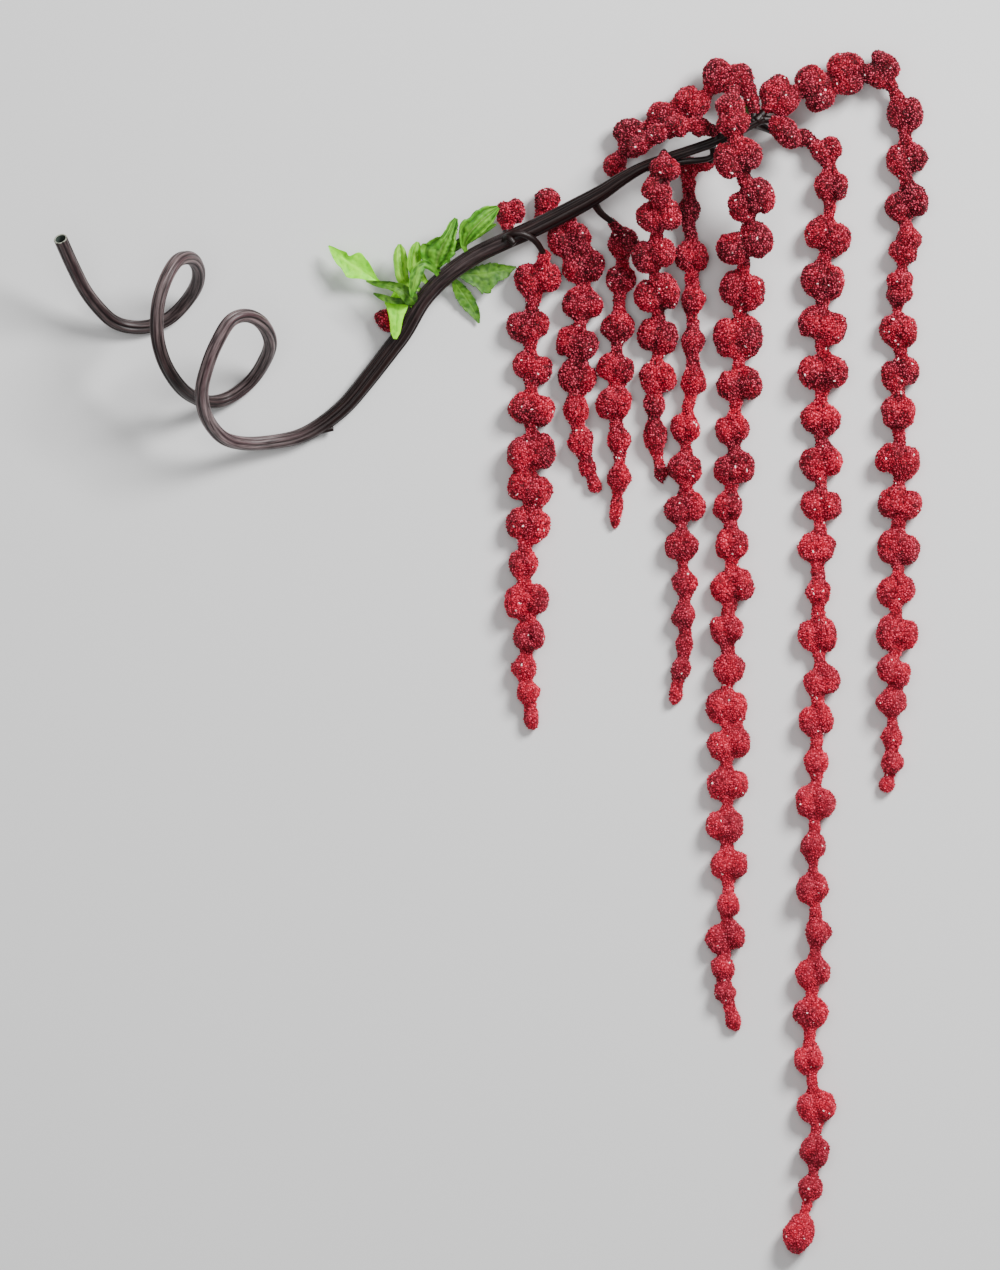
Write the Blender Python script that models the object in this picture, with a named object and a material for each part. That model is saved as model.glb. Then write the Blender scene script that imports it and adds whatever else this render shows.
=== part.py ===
"""Dried amaranth stem, cut and lying on a flat surface.

One hollow, ribbed stem curls twice and then runs out almost straight. Bead-like
flower clusters hang from it on strands, and a few leaves stand along it.
Lengths are in millimetres in this script and become metres in each mesh.
X runs right along the stem, Y from the strands' tips to the stem, and Z up.
"""

import math
import random

import bmesh
import bpy
from mathutils import Vector

MM = 0.001

# Clear space between two pieces that touch on the real plant
SEAT_GAP = 0.3

# Shift that puts the origin under the middle of the whole plant
CENTRE_X = 2.35
CENTRE_Y = -0.8

# Fine steps between two points of a route before it is cut evenly
ROUTE_PIECES = 12

# Below this length the level side of a steep heading is taken from the one before
LEVEL_LEAST = 0.35

# The stem's ribbed tube
STEM_SIDES = 8
STEM_STEP = 7.5
STEM_RIB = 0.05
COIL_RADIUS = 3.15
UPPER_RADIUS = 4.1
FORK_RADIUS = 2.4
BORE_RADIUS = 1.8
BORE_DEPTH = 12.0

# Where the stem thickens after the coil and thins at the fork, as shares of its route
THICK_FROM = 0.58
THICK_TO = 0.70
THIN_FROM = 0.86
THIN_TO = 0.93

# Twigs between the stem and the strands
TWIG_SIDES = 6
TWIG_STEP = 4.5
TWIG_FINE_STEP = 1.125
TWIG_KEPT = 3
TWIG_ROOT_RADIUS = 1.8
TWIG_END_RADIUS = 1.2

# The straight end of a twig, and how much more its direction counts than the first bead's
TWIG_STRAIGHT = 1.0
TWIG_PULL = 2.0

# The clusters, called beads here, and the cord between them
BEAD_SIDES = 8
CORD_RADIUS = 2.6
CORD_END_RADIUS = 1.9
CORD_JITTER = 0.12
BEAD_TALL_SHARE = 0.40
BEAD_TALL_BASE = 7.6
BEAD_DEPTH_SUM = 32.0
BEAD_DEPTH_LEAST = 0.78
BEAD_DEPTH_MOST = 1.2
BEAD_REST_SINK = 1.7
BEAD_RINGS = ((-0.47, 0.50), (-0.18, 0.98), (0.18, 1.0), (0.47, 0.52))
BEAD_KNOB = 0.07
BEAD_JITTER = 0.06
BEAD_PINCH = 0.09
BEAD_NOTCH = 0.07
BEAD_SKEW = 0.10
BEAD_SKEW_LEAST = 0.3
BEAD_TIP = 0.10

# How far each bead stays back from the plane it shares with its neighbour
BEAD_CLEAR = 0.7

# Leaf blades, which wave and cup in full once this wide from the midrib
BLADE_THICK = 0.8
BLADE_COLUMNS = 4
BLADE_FULL_HALF = 3.0
BLADE_STEP = 0.5

# How much further a leaf's flat stalk stays from the stem's round side
LEAF_STAND = 0.4

CRIMSON = (0.42, 0.02, 0.05)
STEM_BROWN = (0.05, 0.03, 0.04)
LEAF_PALE = (0.30, 0.72, 0.16)
LEAF_MID = (0.14, 0.38, 0.05)
LEAF_DARK = (0.06, 0.20, 0.02)

# Centre line of the stem from its hollow cut end through two curls to its last fork
STEM_ROUTE = (
    (-191.5, 185.5, 42), (-186.5, 174, 31), (-181, 163, 21), (-175, 155, 13.5),
    (-168.5, 149, 8), (-160.5, 146.5, 4.5), (-151.5, 147, 3), (-142.5, 151, 3.4),
    (-135, 158.5, 8), (-130.5, 166, 17), (-130, 173, 28), (-133.5, 177, 38),
    (-139, 175.5, 46), (-144, 167.5, 51), (-147.5, 156, 52), (-148, 142.5, 49),
    (-145, 130.5, 41.5), (-139, 120.5, 31), (-132.5, 115, 19.5), (-124.5, 112.5, 9),
    (-115.5, 115, 3.4), (-106.5, 122, 4), (-100.5, 130.5, 12), (-97.5, 139, 24),
    (-100.5, 147, 37), (-107.5, 151, 46), (-115, 148.5, 51), (-121, 139, 52),
    (-125.5, 128, 50), (-128, 116.5, 44), (-126, 105.5, 34), (-119.5, 97, 22),
    (-110, 94, 12.5), (-97.5, 94.5, 7), (-85, 97, 5), (-74.5, 102.5, 4.2),
    (-64, 111, 4.2), (-55, 121.5, 4.6), (-44.5, 135, 5.5), (-37, 145, 7),
    (-29, 158.5, 9.5), (-19, 169, 12), (-5.5, 178.5, 14), (8, 185, 15.5),
    (21.5, 191, 16.5), (37.5, 199, 17), (51, 206.5, 18), (61, 213, 20),
    (71, 218.5, 22), (85, 223.5, 22.5), (101, 229, 22.5), (114, 235, 22),
    (124.5, 240.5, 21),
)

# Side shoots that carry no strand: a second fork twig, and two nubs
SHOOTS = (
    ((72, 218.6, 22), (86.5, 220.5, 19.5), (100.5, 222.5, 18.5), (101, 229, 22)),
    ((8, 184, 16), (9.5, 186.5, 20.5), (12.5, 183.5, 21.5)),
    ((-74, 102.5, 4.5), (-70.5, 100, 4.4), (-68.5, 98.5, 4.4)),
)

# Each strand: the bare twig's points from inside the stem to the first red, then its
# beads from there to the tip. A bead is (x, y, wide), and (x, y, wide, tall, z) where
# its length or its height above the surface isn't the usual one.
STRANDS = {
    "strand_1": (
        ((6, 184.5, 16), (13, 188.5, 21.3), (21, 185.5, 20), (25.5, 178.5, 13.5)),
        ((23, 168.5, 21.5), (18.5, 147, 19.5), (20.5, 128, 18.5), (20, 109.5, 21),
         (20, 90, 22.5), (19.5, 73.5, 20.5), (18.5, 57, 20), (16.5, 40, 13),
         (18, 23.5, 21), (19, 7, 14.5), (17, -7, 12), (18.5, -18, 11, 11, None),
         (20, -29.5, 8, 12, None)),
    ),
    "strand_2": (
        ((37.5, 199, 15), (37.5, 195, 11)),
        ((37, 185.5, 20), (43.5, 173.5, 19.5), (43, 156.5, 18.5), (40.5, 139, 19.5),
         (40.5, 123.5, 17.5), (40, 109, 12.5, 15, None), (42.5, 94, 12.5, 15, None),
         (45.5, 83, 8.5, 9, None), (48.5, 75.5, 7, 8, None)),
    ),
    "strand_3": (
        ((47, 204.5, 17), (51, 198, 12), (57, 193, 8.5)),
        ((62, 184, 14.5, 14, 7), (60.5, 167.5, 13.5), (59, 146.5, 16.5),
         (58, 128, 17.5), (57, 112.5, 16), (59.5, 95.5, 11), (59.5, 78.5, 12),
         (58, 62.5, 7.5, 15, None)),
    ),
    "strand_4": (
        ((79, 221.5, 22), (79.5, 224.5, 28), (80, 223.5, 33)),
        ((80, 217, 14, 11, 37), (76.5, 207, 14, 11, 37), (77, 195.5, 21, 15, 31),
         (75, 178.5, 20.5, 16, 20.5), (76.5, 160.5, 21, 17, 10.5), (77, 142, 19),
         (77, 124, 17), (75.5, 111, 11, 11, None), (75.5, 97.5, 11.5, 17, None),
         (78, 82, 6.5, 13, None)),
    ),
    "strand_5": (
        ((101, 229, 21), (102, 225, 15), (100, 220, 10)),
        ((90.5, 218.5, 10, 11, 7), (91, 199, 12.5), (92, 178, 15.5), (92.5, 159, 12.5),
         (92.7, 139.5, 11.2), (92.9, 122, 12.6), (89.5, 101, 13), (89, 82, 15.5),
         (89, 65, 19), (88, 48, 17), (89, 31, 12), (89, 16.5, 12), (89, 3.5, 9),
         (87.5, -7.5, 9.5, 10, None), (85, -19, 7, 10, None)),
    ),
    "strand_6": (
        ((113, 234.5, 22.5), (111.5, 243, 26.5), (111, 250.5, 31), (111, 253, 36)),
        ((110.5, 241.5, 16.5, 19, 39), (113, 221.5, 22.5, 17, 38),
         (119, 202.5, 23, 16, 29.5), (116, 183.5, 27, 16, 20), (115, 163.5, 21.5, 17, 11.5),
         (113, 142.5, 22.5, 20, None), (113.5, 120.5, 20.5), (110.5, 101, 15.5),
         (111.5, 82, 19.5), (108.5, 65, 13.5), (110.5, 48.5, 15), (110.5, 30, 20),
         (108, 10.5, 15), (109, -7.5, 15.5), (108, -24.5, 19), (109, -41, 20),
         (108.5, -59.5, 19), (107, -78, 17), (109, -96, 17), (109, -114, 11.5),
         (107.5, -129, 18), (106.5, -142.5, 11.5, 11, None), (107, -153.5, 11, 10, None),
         (111, -165.5, 7.5, 12, None)),
    ),
    "strand_7": (
        ((120, 238, 21), (126, 235.5, 14), (132, 233, 7.5)),
        ((142, 232, 9, 10, 5), (153, 226.5, 14, 12, None), (155, 210, 15),
         (153.5, 187, 21.5), (151, 167, 20.5), (151, 146.5, 23), (151.5, 125.5, 23),
         (150.5, 105.5, 18.5), (150.5, 85, 19.5), (150.5, 66, 19), (148.5, 47, 18),
         (149.5, 27, 12.5), (149, 7.5, 18), (151, -13, 17), (148, -30, 16),
         (148.5, -49.5, 12.5), (148, -68, 18.5), (147, -87, 12.5), (146.5, -106.5, 14.5),
         (149, -126.5, 12.5), (147, -145, 16), (146, -162.5, 17), (145, -184, 13.5),
         (148.5, -205, 18), (147.5, -225, 13.5), (146, -241.5, 12),
         (140.5, -262, 14, 19, None)),
    ),
    "strand_8": (
        ((121, 239, 21.5), (124, 242, 21), (126, 245.5, 20.5)),
        ((132.2, 250.6, 19, 16, 19), (147.2, 253.7, 22.5, 15, 14.5),
         (162, 260.7, 19.5, 18, 11), (177.6, 262, 17, 15.5, 9.5), (188.5, 243.5, 17, 16, None),
         (189, 222.5, 19), (189, 202, 20.5), (188.5, 183.5, 14, 17, None),
         (185.5, 164.5, 14.5, 15, None), (185.5, 144.5, 17, 16, None), (186.5, 125.5, 18),
         (185.5, 107.5, 16), (185, 85.5, 20.5),
         (186, 67, 20), (185.5, 47.5, 19.5), (184.5, 28, 18), (185, 9, 19.5),
         (183.5, -8.5, 16), (182.5, -22.5, 15), (182.5, -38, 10), (183, -49.5, 11, 10, None),
         (180.5, -59.5, 7.5, 8, None)),
    ),
    "crown_strand": (
        ((119.5, 238.2, 21.3), (120.3, 243.5, 20)),
        ((119.3, 247.5, 7, 6, 18.5), (118, 252.5, 8, 6, 17.5), (108.5, 258.7, 17, 24, 14.5),
         (92, 247.5, 15.5, 15, 10.5), (79.5, 239.5, 18.5, 15, 9.5), (64.5, 231.5, 18, 15, 9),
         (57.5, 219.5, 11, 12, 6.5)),
    ),
    "crown_low": (
        ((103, 229.8, 22), (103, 234.5, 24)),
        ((95.5, 236.5, 10.5, 10, 26.5), (86, 236.8, 11, 10, 27), (76.5, 232.8, 10, 10, 26.5),
         (68.5, 227.8, 9.5, 10, 26)),
    ),
    "bud_end": (
        ((122, 239.3, 21), (128, 239.5, 20.5)),
        ((134.2, 233.6, 12.5, 18, 21),),
    ),
    "bud_upper": (
        ((8, 185, 15.5), (9.3, 191.6, 14)),
        ((10.5, 198, 13.5, 12, 12),),
    ),
    "bud_under": (
        ((23.5, 192, 14), (24.5, 191.5, 9), (24.5, 196, 6)),
        ((27, 203.5, 12.5, 12, 5.5),),
    ),
    "bud_low": (
        ((-37, 145, 7), (-41.3, 147.5, 6)),
        ((-46.5, 150, 9.5, 10.5, 5),),
    ),
}

# Each leaf: its colour, the place on the stem it leaves from (with its own distance from
# the stem where the usual one doesn't suit), the midrib's further points, half widths to
# its left and right in even steps from base to tip, the waves of its edge and its cup.
LEAVES = {
    "leaf_1": (
        LEAF_PALE, (-30.5, 156.2, 0.9),
        ((-38, 161.2, 8), (-47.5, 165.9, 8), (-55.5, 171.2, 9.5), (-63.5, 176.6, 10),
         (-71.4, 183, 8.5)),
        (0.9, 0.9, 0.9, 0.9, 1.0, 1.9, 4.4, 6.8, 6.1, 4.2, 3.1, 0.5),
        (0.9, 0.9, 0.9, 0.9, 1.2, 2.2, 4.2, 5.5, 5.3, 1.5, 1.3, 0.5), 0.5, 1.2,
    ),
    "leaf_2": (
        LEAF_DARK, (-30.5, 156),
        ((-34.5, 159.5, 18), (-38.5, 163, 19.5), (-44.5, 165.2, 19), (-54.4, 166.9, 16.5)),
        (0.9, 2.4, 3.4, 3.6, 3.2, 2.6, 2.0, 1.9, 2.0, 1.8, 1.2, 0.4),
        (0.9, 2.0, 3.0, 3.2, 3.0, 2.6, 2.2, 1.8, 1.4, 1.0, 0.8, 0.4), 0.6, 0.9,
    ),
    "leaf_3": (
        LEAF_PALE, (-32, 153.5, -0.2),
        ((-36.5, 159.5, 11), (-40.4, 161.8, 12.2), (-40.6, 156, 13.8), (-41, 148.5, 13.8),
         (-41.4, 140.9, 12.5)),
        (0.9, 0.9, 0.9, 0.9, 1.2, 5.2, 4.7, 3.7, 3.0, 2.6, 2.1, 0.8),
        (0.9, 0.9, 0.9, 1.0, 2.4, 5.4, 4.7, 3.7, 3.0, 2.6, 2.1, 0.8), 0.3, -0.8,
    ),
    "leaf_4": (
        LEAF_PALE, (-26.5, 161.5),
        ((-33, 164.5, 11), (-37.6, 168.5, 14), (-38.9, 175.7, 14.7), (-39.4, 183.7, 12.8)),
        (0.9, 0.9, 1.8, 2.8, 3.2, 3.2, 3.2, 3.3, 3.3, 3.0, 2.3, 0.8),
        (0.9, 0.9, 1.0, 1.4, 2.2, 2.8, 3.0, 3.2, 3.2, 3.0, 2.3, 0.8), 0.3, 1.0,
    ),
    "leaf_5": (
        LEAF_PALE, (-24, 164),
        ((-29.5, 169, 13.5), (-32.8, 173, 16.5), (-32.6, 178.6, 17), (-31.2, 184.7, 14.5)),
        (0.9, 1.2, 2.0, 2.6, 2.8, 2.9, 3.0, 3.0, 2.9, 2.6, 2.0, 0.8),
        (0.9, 1.2, 1.8, 2.2, 2.6, 2.9, 3.1, 3.2, 3.0, 2.6, 2.0, 0.8), 0.4, 1.0,
    ),
    "leaf_6": (
        LEAF_MID, (-20, 168),
        ((-24.6, 172.4, 19), (-28.4, 174, 22), (-31.4, 170.6, 23), (-33, 165.2, 22.6),
         (-34, 159.4, 21.4)),
        (0.8, 0.9, 1.2, 1.4, 1.5, 2.0, 2.8, 3.2, 2.9, 2.3, 1.5, 0.5),
        (0.8, 1.0, 1.4, 1.8, 2.2, 2.5, 2.7, 2.7, 2.5, 2.1, 1.4, 0.5), 0.3, 0.6,
    ),
    "leaf_7": (
        LEAF_MID, (-20, 168.2),
        ((-22.6, 173.6, 15.8), (-21, 180, 19.5), (-17.6, 187, 20.5), (-13.9, 195.3, 16.5)),
        (0.9, 2.6, 6.2, 8.6, 9.2, 7.4, 5.0, 3.0, 2.4, 2.3, 1.9, 0.9),
        (0.9, 1.4, 3.0, 4.6, 6.0, 6.4, 5.8, 4.6, 3.4, 2.8, 2.2, 0.9), 0.9, 1.4,
    ),
    "leaf_8": (
        LEAF_MID, (-8, 177),
        ((-10.2, 184, 17.5), (-6.8, 189.6, 21), (-1.2, 195.2, 20.5), (5, 200.2, 16.5)),
        (0.9, 1.2, 2.2, 4.0, 5.8, 6.0, 5.0, 5.2, 4.8, 4.2, 2.8, 1.2),
        (0.9, 1.0, 2.0, 3.0, 3.6, 4.0, 4.3, 4.4, 4.2, 3.6, 2.2, 1.0), 0.8, 1.6,
    ),
    "leaf_9": (
        LEAF_DARK, (-14.5, 172.8, 0.9),
        ((-12, 170.7, 7.2), (-8, 170.2, 6.4), (-2, 170.4, 6), (5, 171.6, 5),
         (13.2, 173.5, 3.5)),
        (0.9, 1.2, 1.8, 2.6, 3.6, 4.2, 4.4, 4.4, 3.5, 2.4, 1.4, 0.4),
        (0.9, 1.6, 3.1, 4.6, 6.6, 9.4, 8.6, 5.6, 4.4, 4.0, 1.8, 0.4), 0.4, 0.5,
    ),
    "leaf_10": (
        LEAF_DARK, (-17.5, 170.2, 0.9),
        ((-12.5, 163.8, 5), (-8.6, 158.4, 3.2), (-5.6, 153.4, 2.6), (-3.6, 148.2, 2.4)),
        (0.9, 1.4, 2.0, 2.6, 3.0, 3.2, 3.2, 3.0, 2.6, 2.2, 1.4, 0.5),
        (0.9, 1.4, 2.2, 3.0, 3.6, 4.0, 4.0, 3.8, 3.2, 2.4, 1.5, 0.5), 0.4, 0.6,
    ),
    "leaf_11": (
        LEAF_DARK, (115.5, 236, 0.6),
        ((115.6, 241.5, 17), (117.3, 246.5, 12.5), (119.8, 251, 10)),
        (0.8, 1.0, 1.4, 2.0, 2.6, 3.0, 3.0, 2.8, 2.4, 1.8, 1.2, 0.4),
        (0.8, 1.0, 1.4, 2.0, 2.6, 3.0, 3.0, 2.8, 2.4, 1.8, 1.2, 0.4), 0.3, 0.6,
    ),
    "leaf_12": (
        LEAF_DARK, (-31.5, 154.5),
        ((-36, 158, 15.8), (-41, 158.3, 16.4), (-46, 159.3, 16), (-51.2, 161.5, 14)),
        (0.9, 1.2, 1.6, 1.8, 1.8, 1.7, 1.7, 1.7, 1.6, 1.3, 0.9, 0.4),
        (0.9, 1.0, 1.2, 1.3, 1.3, 1.2, 1.2, 1.4, 1.5, 1.3, 0.9, 0.4), 0.4, 0.5,
    ),
    "leaf_13": (
        LEAF_DARK, (-15.5, 171.6),
        ((-18, 178.2, 13.6), (-13.5, 182.8, 14.2), (-6.5, 187.4, 15), (-0.5, 190.6, 15.2),
         (4.2, 192.6, 15)),
        (0.9, 0.9, 1.4, 2.0, 2.4, 2.5, 2.5, 2.5, 2.3, 1.9, 1.3, 0.5),
        (0.9, 0.9, 1.2, 1.6, 2.0, 2.2, 2.3, 2.3, 2.2, 1.8, 1.3, 0.5), 0.5, 0.6,
    ),
}


def clear_scene():
    """Removes whatever the open file holds, so that only this plant is left."""
    for scene_object in list(bpy.data.objects):
        bpy.data.objects.remove(scene_object, do_unlink=True)


def plain_material(name, colour, roughness):
    """One Principled material of an even colour."""
    material = bpy.data.materials.new(name)
    material.use_nodes = True
    shader = material.node_tree.nodes["Principled BSDF"]
    shader.inputs["Base Color"].default_value = (*colour, 1.0)
    shader.inputs["Roughness"].default_value = roughness
    shader.inputs["Metallic"].default_value = 0.0
    return material


def finish_object(bm, name, material):
    """Centres the mesh on the origin, turns it to metres and makes it an object."""
    bmesh.ops.translate(bm, verts=bm.verts, vec=(-CENTRE_X, -CENTRE_Y, 0.0))
    bmesh.ops.scale(bm, verts=bm.verts, vec=(MM, MM, MM))
    bmesh.ops.recalc_face_normals(bm, faces=bm.faces)
    mesh = bpy.data.meshes.new(name)
    bm.to_mesh(mesh)
    bm.free()
    made = bpy.data.objects.new(name, mesh)
    bpy.context.scene.collection.objects.link(made)
    mesh.materials.append(material)
    return made


def smooth_route(points, step):
    """Points at even steps along a smooth curve through the given ones."""
    knots = [Vector(point) for point in points]
    ends = [knots[0] * 2 - knots[1]] + knots + [knots[-1] * 2 - knots[-2]]
    fine = [knots[0]]
    for before, start, end, after in zip(ends, ends[1:], ends[2:], ends[3:]):
        for piece in range(1, ROUTE_PIECES + 1):
            t = piece / ROUTE_PIECES
            slow = start * 2 + (end - before) * t
            bend = (before * 2 - start * 5 + end * 4 - after) * t ** 2
            twist = (start * 3 - before - end * 3 + after) * t ** 3
            fine.append((slow + bend + twist) / 2)
    lengths = [0.0]
    for start, end in zip(fine, fine[1:]):
        lengths.append(lengths[-1] + (end - start).length)
    count = max(1, round(lengths[-1] / step))
    even = []
    at = 0
    for number in range(count + 1):
        goal = lengths[-1] * number / count
        while at < len(fine) - 2 and lengths[at + 1] < goal:
            at += 1
        share = (goal - lengths[at]) / max(1e-9, lengths[at + 1] - lengths[at])
        even.append(fine[at].lerp(fine[at + 1], share))
    return even


def route_headings(points):
    """The unit direction of a route at each of its points."""
    last = len(points) - 1
    return [
        (points[min(i + 1, last)] - points[max(i - 1, 0)]).normalized()
        for i in range(last + 1)
    ]


def level_side(heading, previous):
    """The sideways direction at a heading, level where it can be and never flipping."""
    side = heading.cross(Vector((0, 0, 1)))
    if side.length < LEVEL_LEAST:
        side = previous - heading * previous.dot(heading)
    side.normalize()
    return side if previous.dot(side) >= 0 else -side


def carried_side(heading, previous):
    """The sideways direction carried along a route without twist."""
    return (previous - heading * previous.dot(heading)).normalized()


def extrude_ring(bm, ring, places):
    """Extrudes an open ring of vertices and sets the new ring down at the places."""
    edges = [bm.edges.get((ring[i - 1], ring[i])) for i in range(len(ring))]
    made = bmesh.ops.extrude_edge_only(bm, edges=edges)["geom"]
    fresh = {item for item in made if isinstance(item, bmesh.types.BMVert)}
    following = []
    for vertex, place in zip(ring, places):
        partners = (edge.other_vert(vertex) for edge in vertex.link_edges)
        partner = next(other for other in partners if other in fresh)
        partner.co = place
        following.append(partner)
    return following


def loft(rings, pointed=0.0):
    """A closed body through rings of places. Its far end can come to a low point."""
    bm = bmesh.new()
    first = bmesh.ops.create_circle(bm, segments=len(rings[0]), radius=1.0)["verts"]
    for vertex, place in zip(first, rings[0]):
        vertex.co = place
    bm.faces.new(first)
    ring = first
    for places in rings[1:]:
        ring = extrude_ring(bm, ring, places)
    cap = bm.faces.new(ring)
    if pointed:
        outward = (sum_of(rings[-1]) - sum_of(rings[-2])) / len(ring)
        tip = bmesh.ops.poke(bm, faces=[cap])["verts"][0]
        tip.co += outward.normalized() * pointed
    bmesh.ops.triangulate(bm, faces=bm.faces, quad_method="SHORT_EDGE")
    return bm


def sum_of(places):
    """The sum of a ring's places."""
    return sum(places, Vector())


def round_ring(centre, side, up, radius, sides, rib=0.0, phase=0.0):
    """A ring round a centre, with every second point drawn in by the rib share."""
    places = []
    for number in range(sides):
        angle = 2 * math.pi * (number + phase) / sides
        reach = radius * (1 + rib * (1 if number % 2 else -1))
        places.append(centre + (side * math.cos(angle) + up * math.sin(angle)) * reach)
    return places


def tube_rings(points, radii, sides, rib=0.0):
    """Rings along points, one radius for each, that don't twist."""
    side = Vector((0, 0, 1)).cross(points[1] - points[0]).normalized()
    rings = []
    for centre, heading, radius in zip(points, route_headings(points), radii):
        side = carried_side(heading, side)
        rings.append(round_ring(centre, side, heading.cross(side), radius, sides, rib))
    return rings


def rest_on_surface(bm):
    """Flattens whatever would reach below the surface."""
    for vertex in bm.verts:
        vertex.co.z = max(vertex.co.z, 0.0)


def between(share, start, end):
    """How far a share has come from start to end, from 0 to 1, eased at both."""
    t = min(1.0, max(0.0, (share - start) / (end - start)))
    return t * t * (3 - 2 * t)


def stem_radius(share):
    """The stem's radius at a share of its route."""
    thick = between(share, THICK_FROM, THICK_TO)
    thin = between(share, THIN_FROM, THIN_TO)
    radius = COIL_RADIUS + (UPPER_RADIUS - COIL_RADIUS) * thick
    return radius + (FORK_RADIUS - UPPER_RADIUS) * thin


def stem_line():
    """The stem's centre line and its radius at each point."""
    points = smooth_route(STEM_ROUTE, STEM_STEP)
    radii = [stem_radius(number / (len(points) - 1)) for number in range(len(points))]
    return points, radii


def twig_line(bare, beads):
    """The bare twig's points, ending one seat gap before the strand's first ring."""
    knots = list(bare) + [bead_centre(beads[0])]
    whole = smooth_route(knots, TWIG_FINE_STEP)
    root = Vector(bare[-1])
    near = min(range(len(whole)), key=lambda i: (whole[i] - root).length)
    heading = strand_heading(bare, beads)
    line = whole[: max(2, near - 1)][::TWIG_KEPT]
    line = [point for point in line if (point - root).length > TWIG_STEP / 2]
    end = root - heading * SEAT_GAP
    return line + [end - heading * TWIG_STRAIGHT, end]


def strand_heading(bare, beads):
    """The direction in which a strand leaves its twig."""
    root = Vector(bare[-1])
    along_twig = (root - Vector(bare[-2])).normalized()
    to_bead = (bead_centre(beads[0]) - root).normalized()
    return (along_twig * TWIG_PULL + to_bead).normalized()


def bead_depth(bead):
    """How deep a bead is from top to bottom: the wide ones lie flat."""
    wide = bead[2]
    return min(max(BEAD_DEPTH_SUM - wide, BEAD_DEPTH_LEAST * wide), BEAD_DEPTH_MOST * wide)


def bead_tall(bead):
    """A bead's length along its strand."""
    return bead[3] if len(bead) > 3 else BEAD_TALL_SHARE * bead[2] + BEAD_TALL_BASE


def bead_centre(bead):
    """A bead's middle, which lies on the surface unless its height is given."""
    lying = bead_depth(bead) / 2 - BEAD_REST_SINK
    height = bead[4] if len(bead) > 4 and bead[4] is not None else lying
    return Vector((bead[0], bead[1], height))


def bead_rings(bead, heading, side, draw):
    """The four rings of a bead: a pair of lobes with knobs, askew by a seeded draw."""
    up = side.cross(heading)
    centre = bead_centre(bead)
    tall = bead_tall(bead)
    half_wide = bead[2] / 2 / (1 + BEAD_KNOB)
    half_deep = bead_depth(bead) / 2
    lean = draw.uniform(0, 2 * math.pi)
    skew = draw.uniform(BEAD_SKEW_LEAST, 1.0) * BEAD_SKEW * tall
    rings = []
    for number, (along, swell) in enumerate(BEAD_RINGS):
        places = []
        outer = 1 if along > 0 else -1
        for step in range(BEAD_SIDES):
            angle = 2 * math.pi * (step + 0.5 * (number % 2)) / BEAD_SIDES
            pinch = BEAD_PINCH * math.sin(angle) ** 2
            knob = BEAD_KNOB * (1 if (step + number // 2) % 2 else -1)
            reach = swell * (1 + knob - pinch + draw.uniform(-BEAD_JITTER, BEAD_JITTER))
            shift = along * tall + skew * math.cos(angle - lean) * swell
            shift += outer * BEAD_NOTCH * tall * math.cos(2 * angle) * (1 - swell / 2)
            across = side * math.cos(angle) * half_wide + up * math.sin(angle) * half_deep
            places.append(centre + heading * shift + across * reach)
        rings.append(places)
    return rings


def kept_between(place, planes):
    """A place moved back to the inner side of each plane, given by a point and a way out."""
    for point, outward in planes:
        over = (place - point).dot(outward)
        if over > 0:
            place = place - outward * over
    return place


def shared_plane(bead, other):
    """The plane between two neighbouring beads, split by their lengths."""
    here = bead_centre(bead)
    way = bead_centre(other) - here
    share = bead_tall(bead) / (bead_tall(bead) + bead_tall(other))
    outward = way.normalized()
    return here + way * share, outward


def cord_ring(centre, side, heading, radius, draw):
    """A knobbly ring of the cord between two beads."""
    up = side.cross(heading)
    ring = round_ring(centre, side, up, radius, BEAD_SIDES)
    return [
        centre + (place - centre) * (1 + draw.uniform(-CORD_JITTER, CORD_JITTER))
        for place in ring
    ]


def make_strand(name, bare, beads, material):
    """A strand of beads in one body, from its flat root to its tip."""
    draw = random.Random(name)
    root = Vector(bare[-1])
    heading = strand_heading(bare, beads)
    side = level_side(heading, Vector((1, 0, 0)))
    rings = [round_ring(root, side, side.cross(heading), CORD_END_RADIUS, BEAD_SIDES)]
    back = (root + heading * BEAD_CLEAR, -heading)
    for number, bead in enumerate(beads):
        here = bead_centre(bead)
        before = bead_centre(beads[number - 1]) if number else root
        to_here = (here - before).normalized()
        planes = [back]
        to_next = to_here
        if number + 1 < len(beads):
            middle, to_next = shared_plane(bead, beads[number + 1])
            planes.append((middle - to_next * BEAD_CLEAR, to_next))
        heading = (to_here + to_next).normalized()
        side = level_side(heading, side)
        for ring in bead_rings(bead, heading, side, draw):
            rings.append([kept_between(place, planes) for place in ring])
        if number + 1 < len(beads):
            share = number / len(beads)
            radius = CORD_RADIUS + (CORD_END_RADIUS - CORD_RADIUS) * share
            side = level_side(to_next, side)
            rings.append(cord_ring(middle, side, to_next, radius, draw))
            back = (middle + to_next * BEAD_CLEAR, -to_next)
    bm = loft(rings, pointed=bead_tall(beads[-1]) * BEAD_TIP)
    rest_on_surface(bm)
    return finish_object(bm, name, material)


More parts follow.
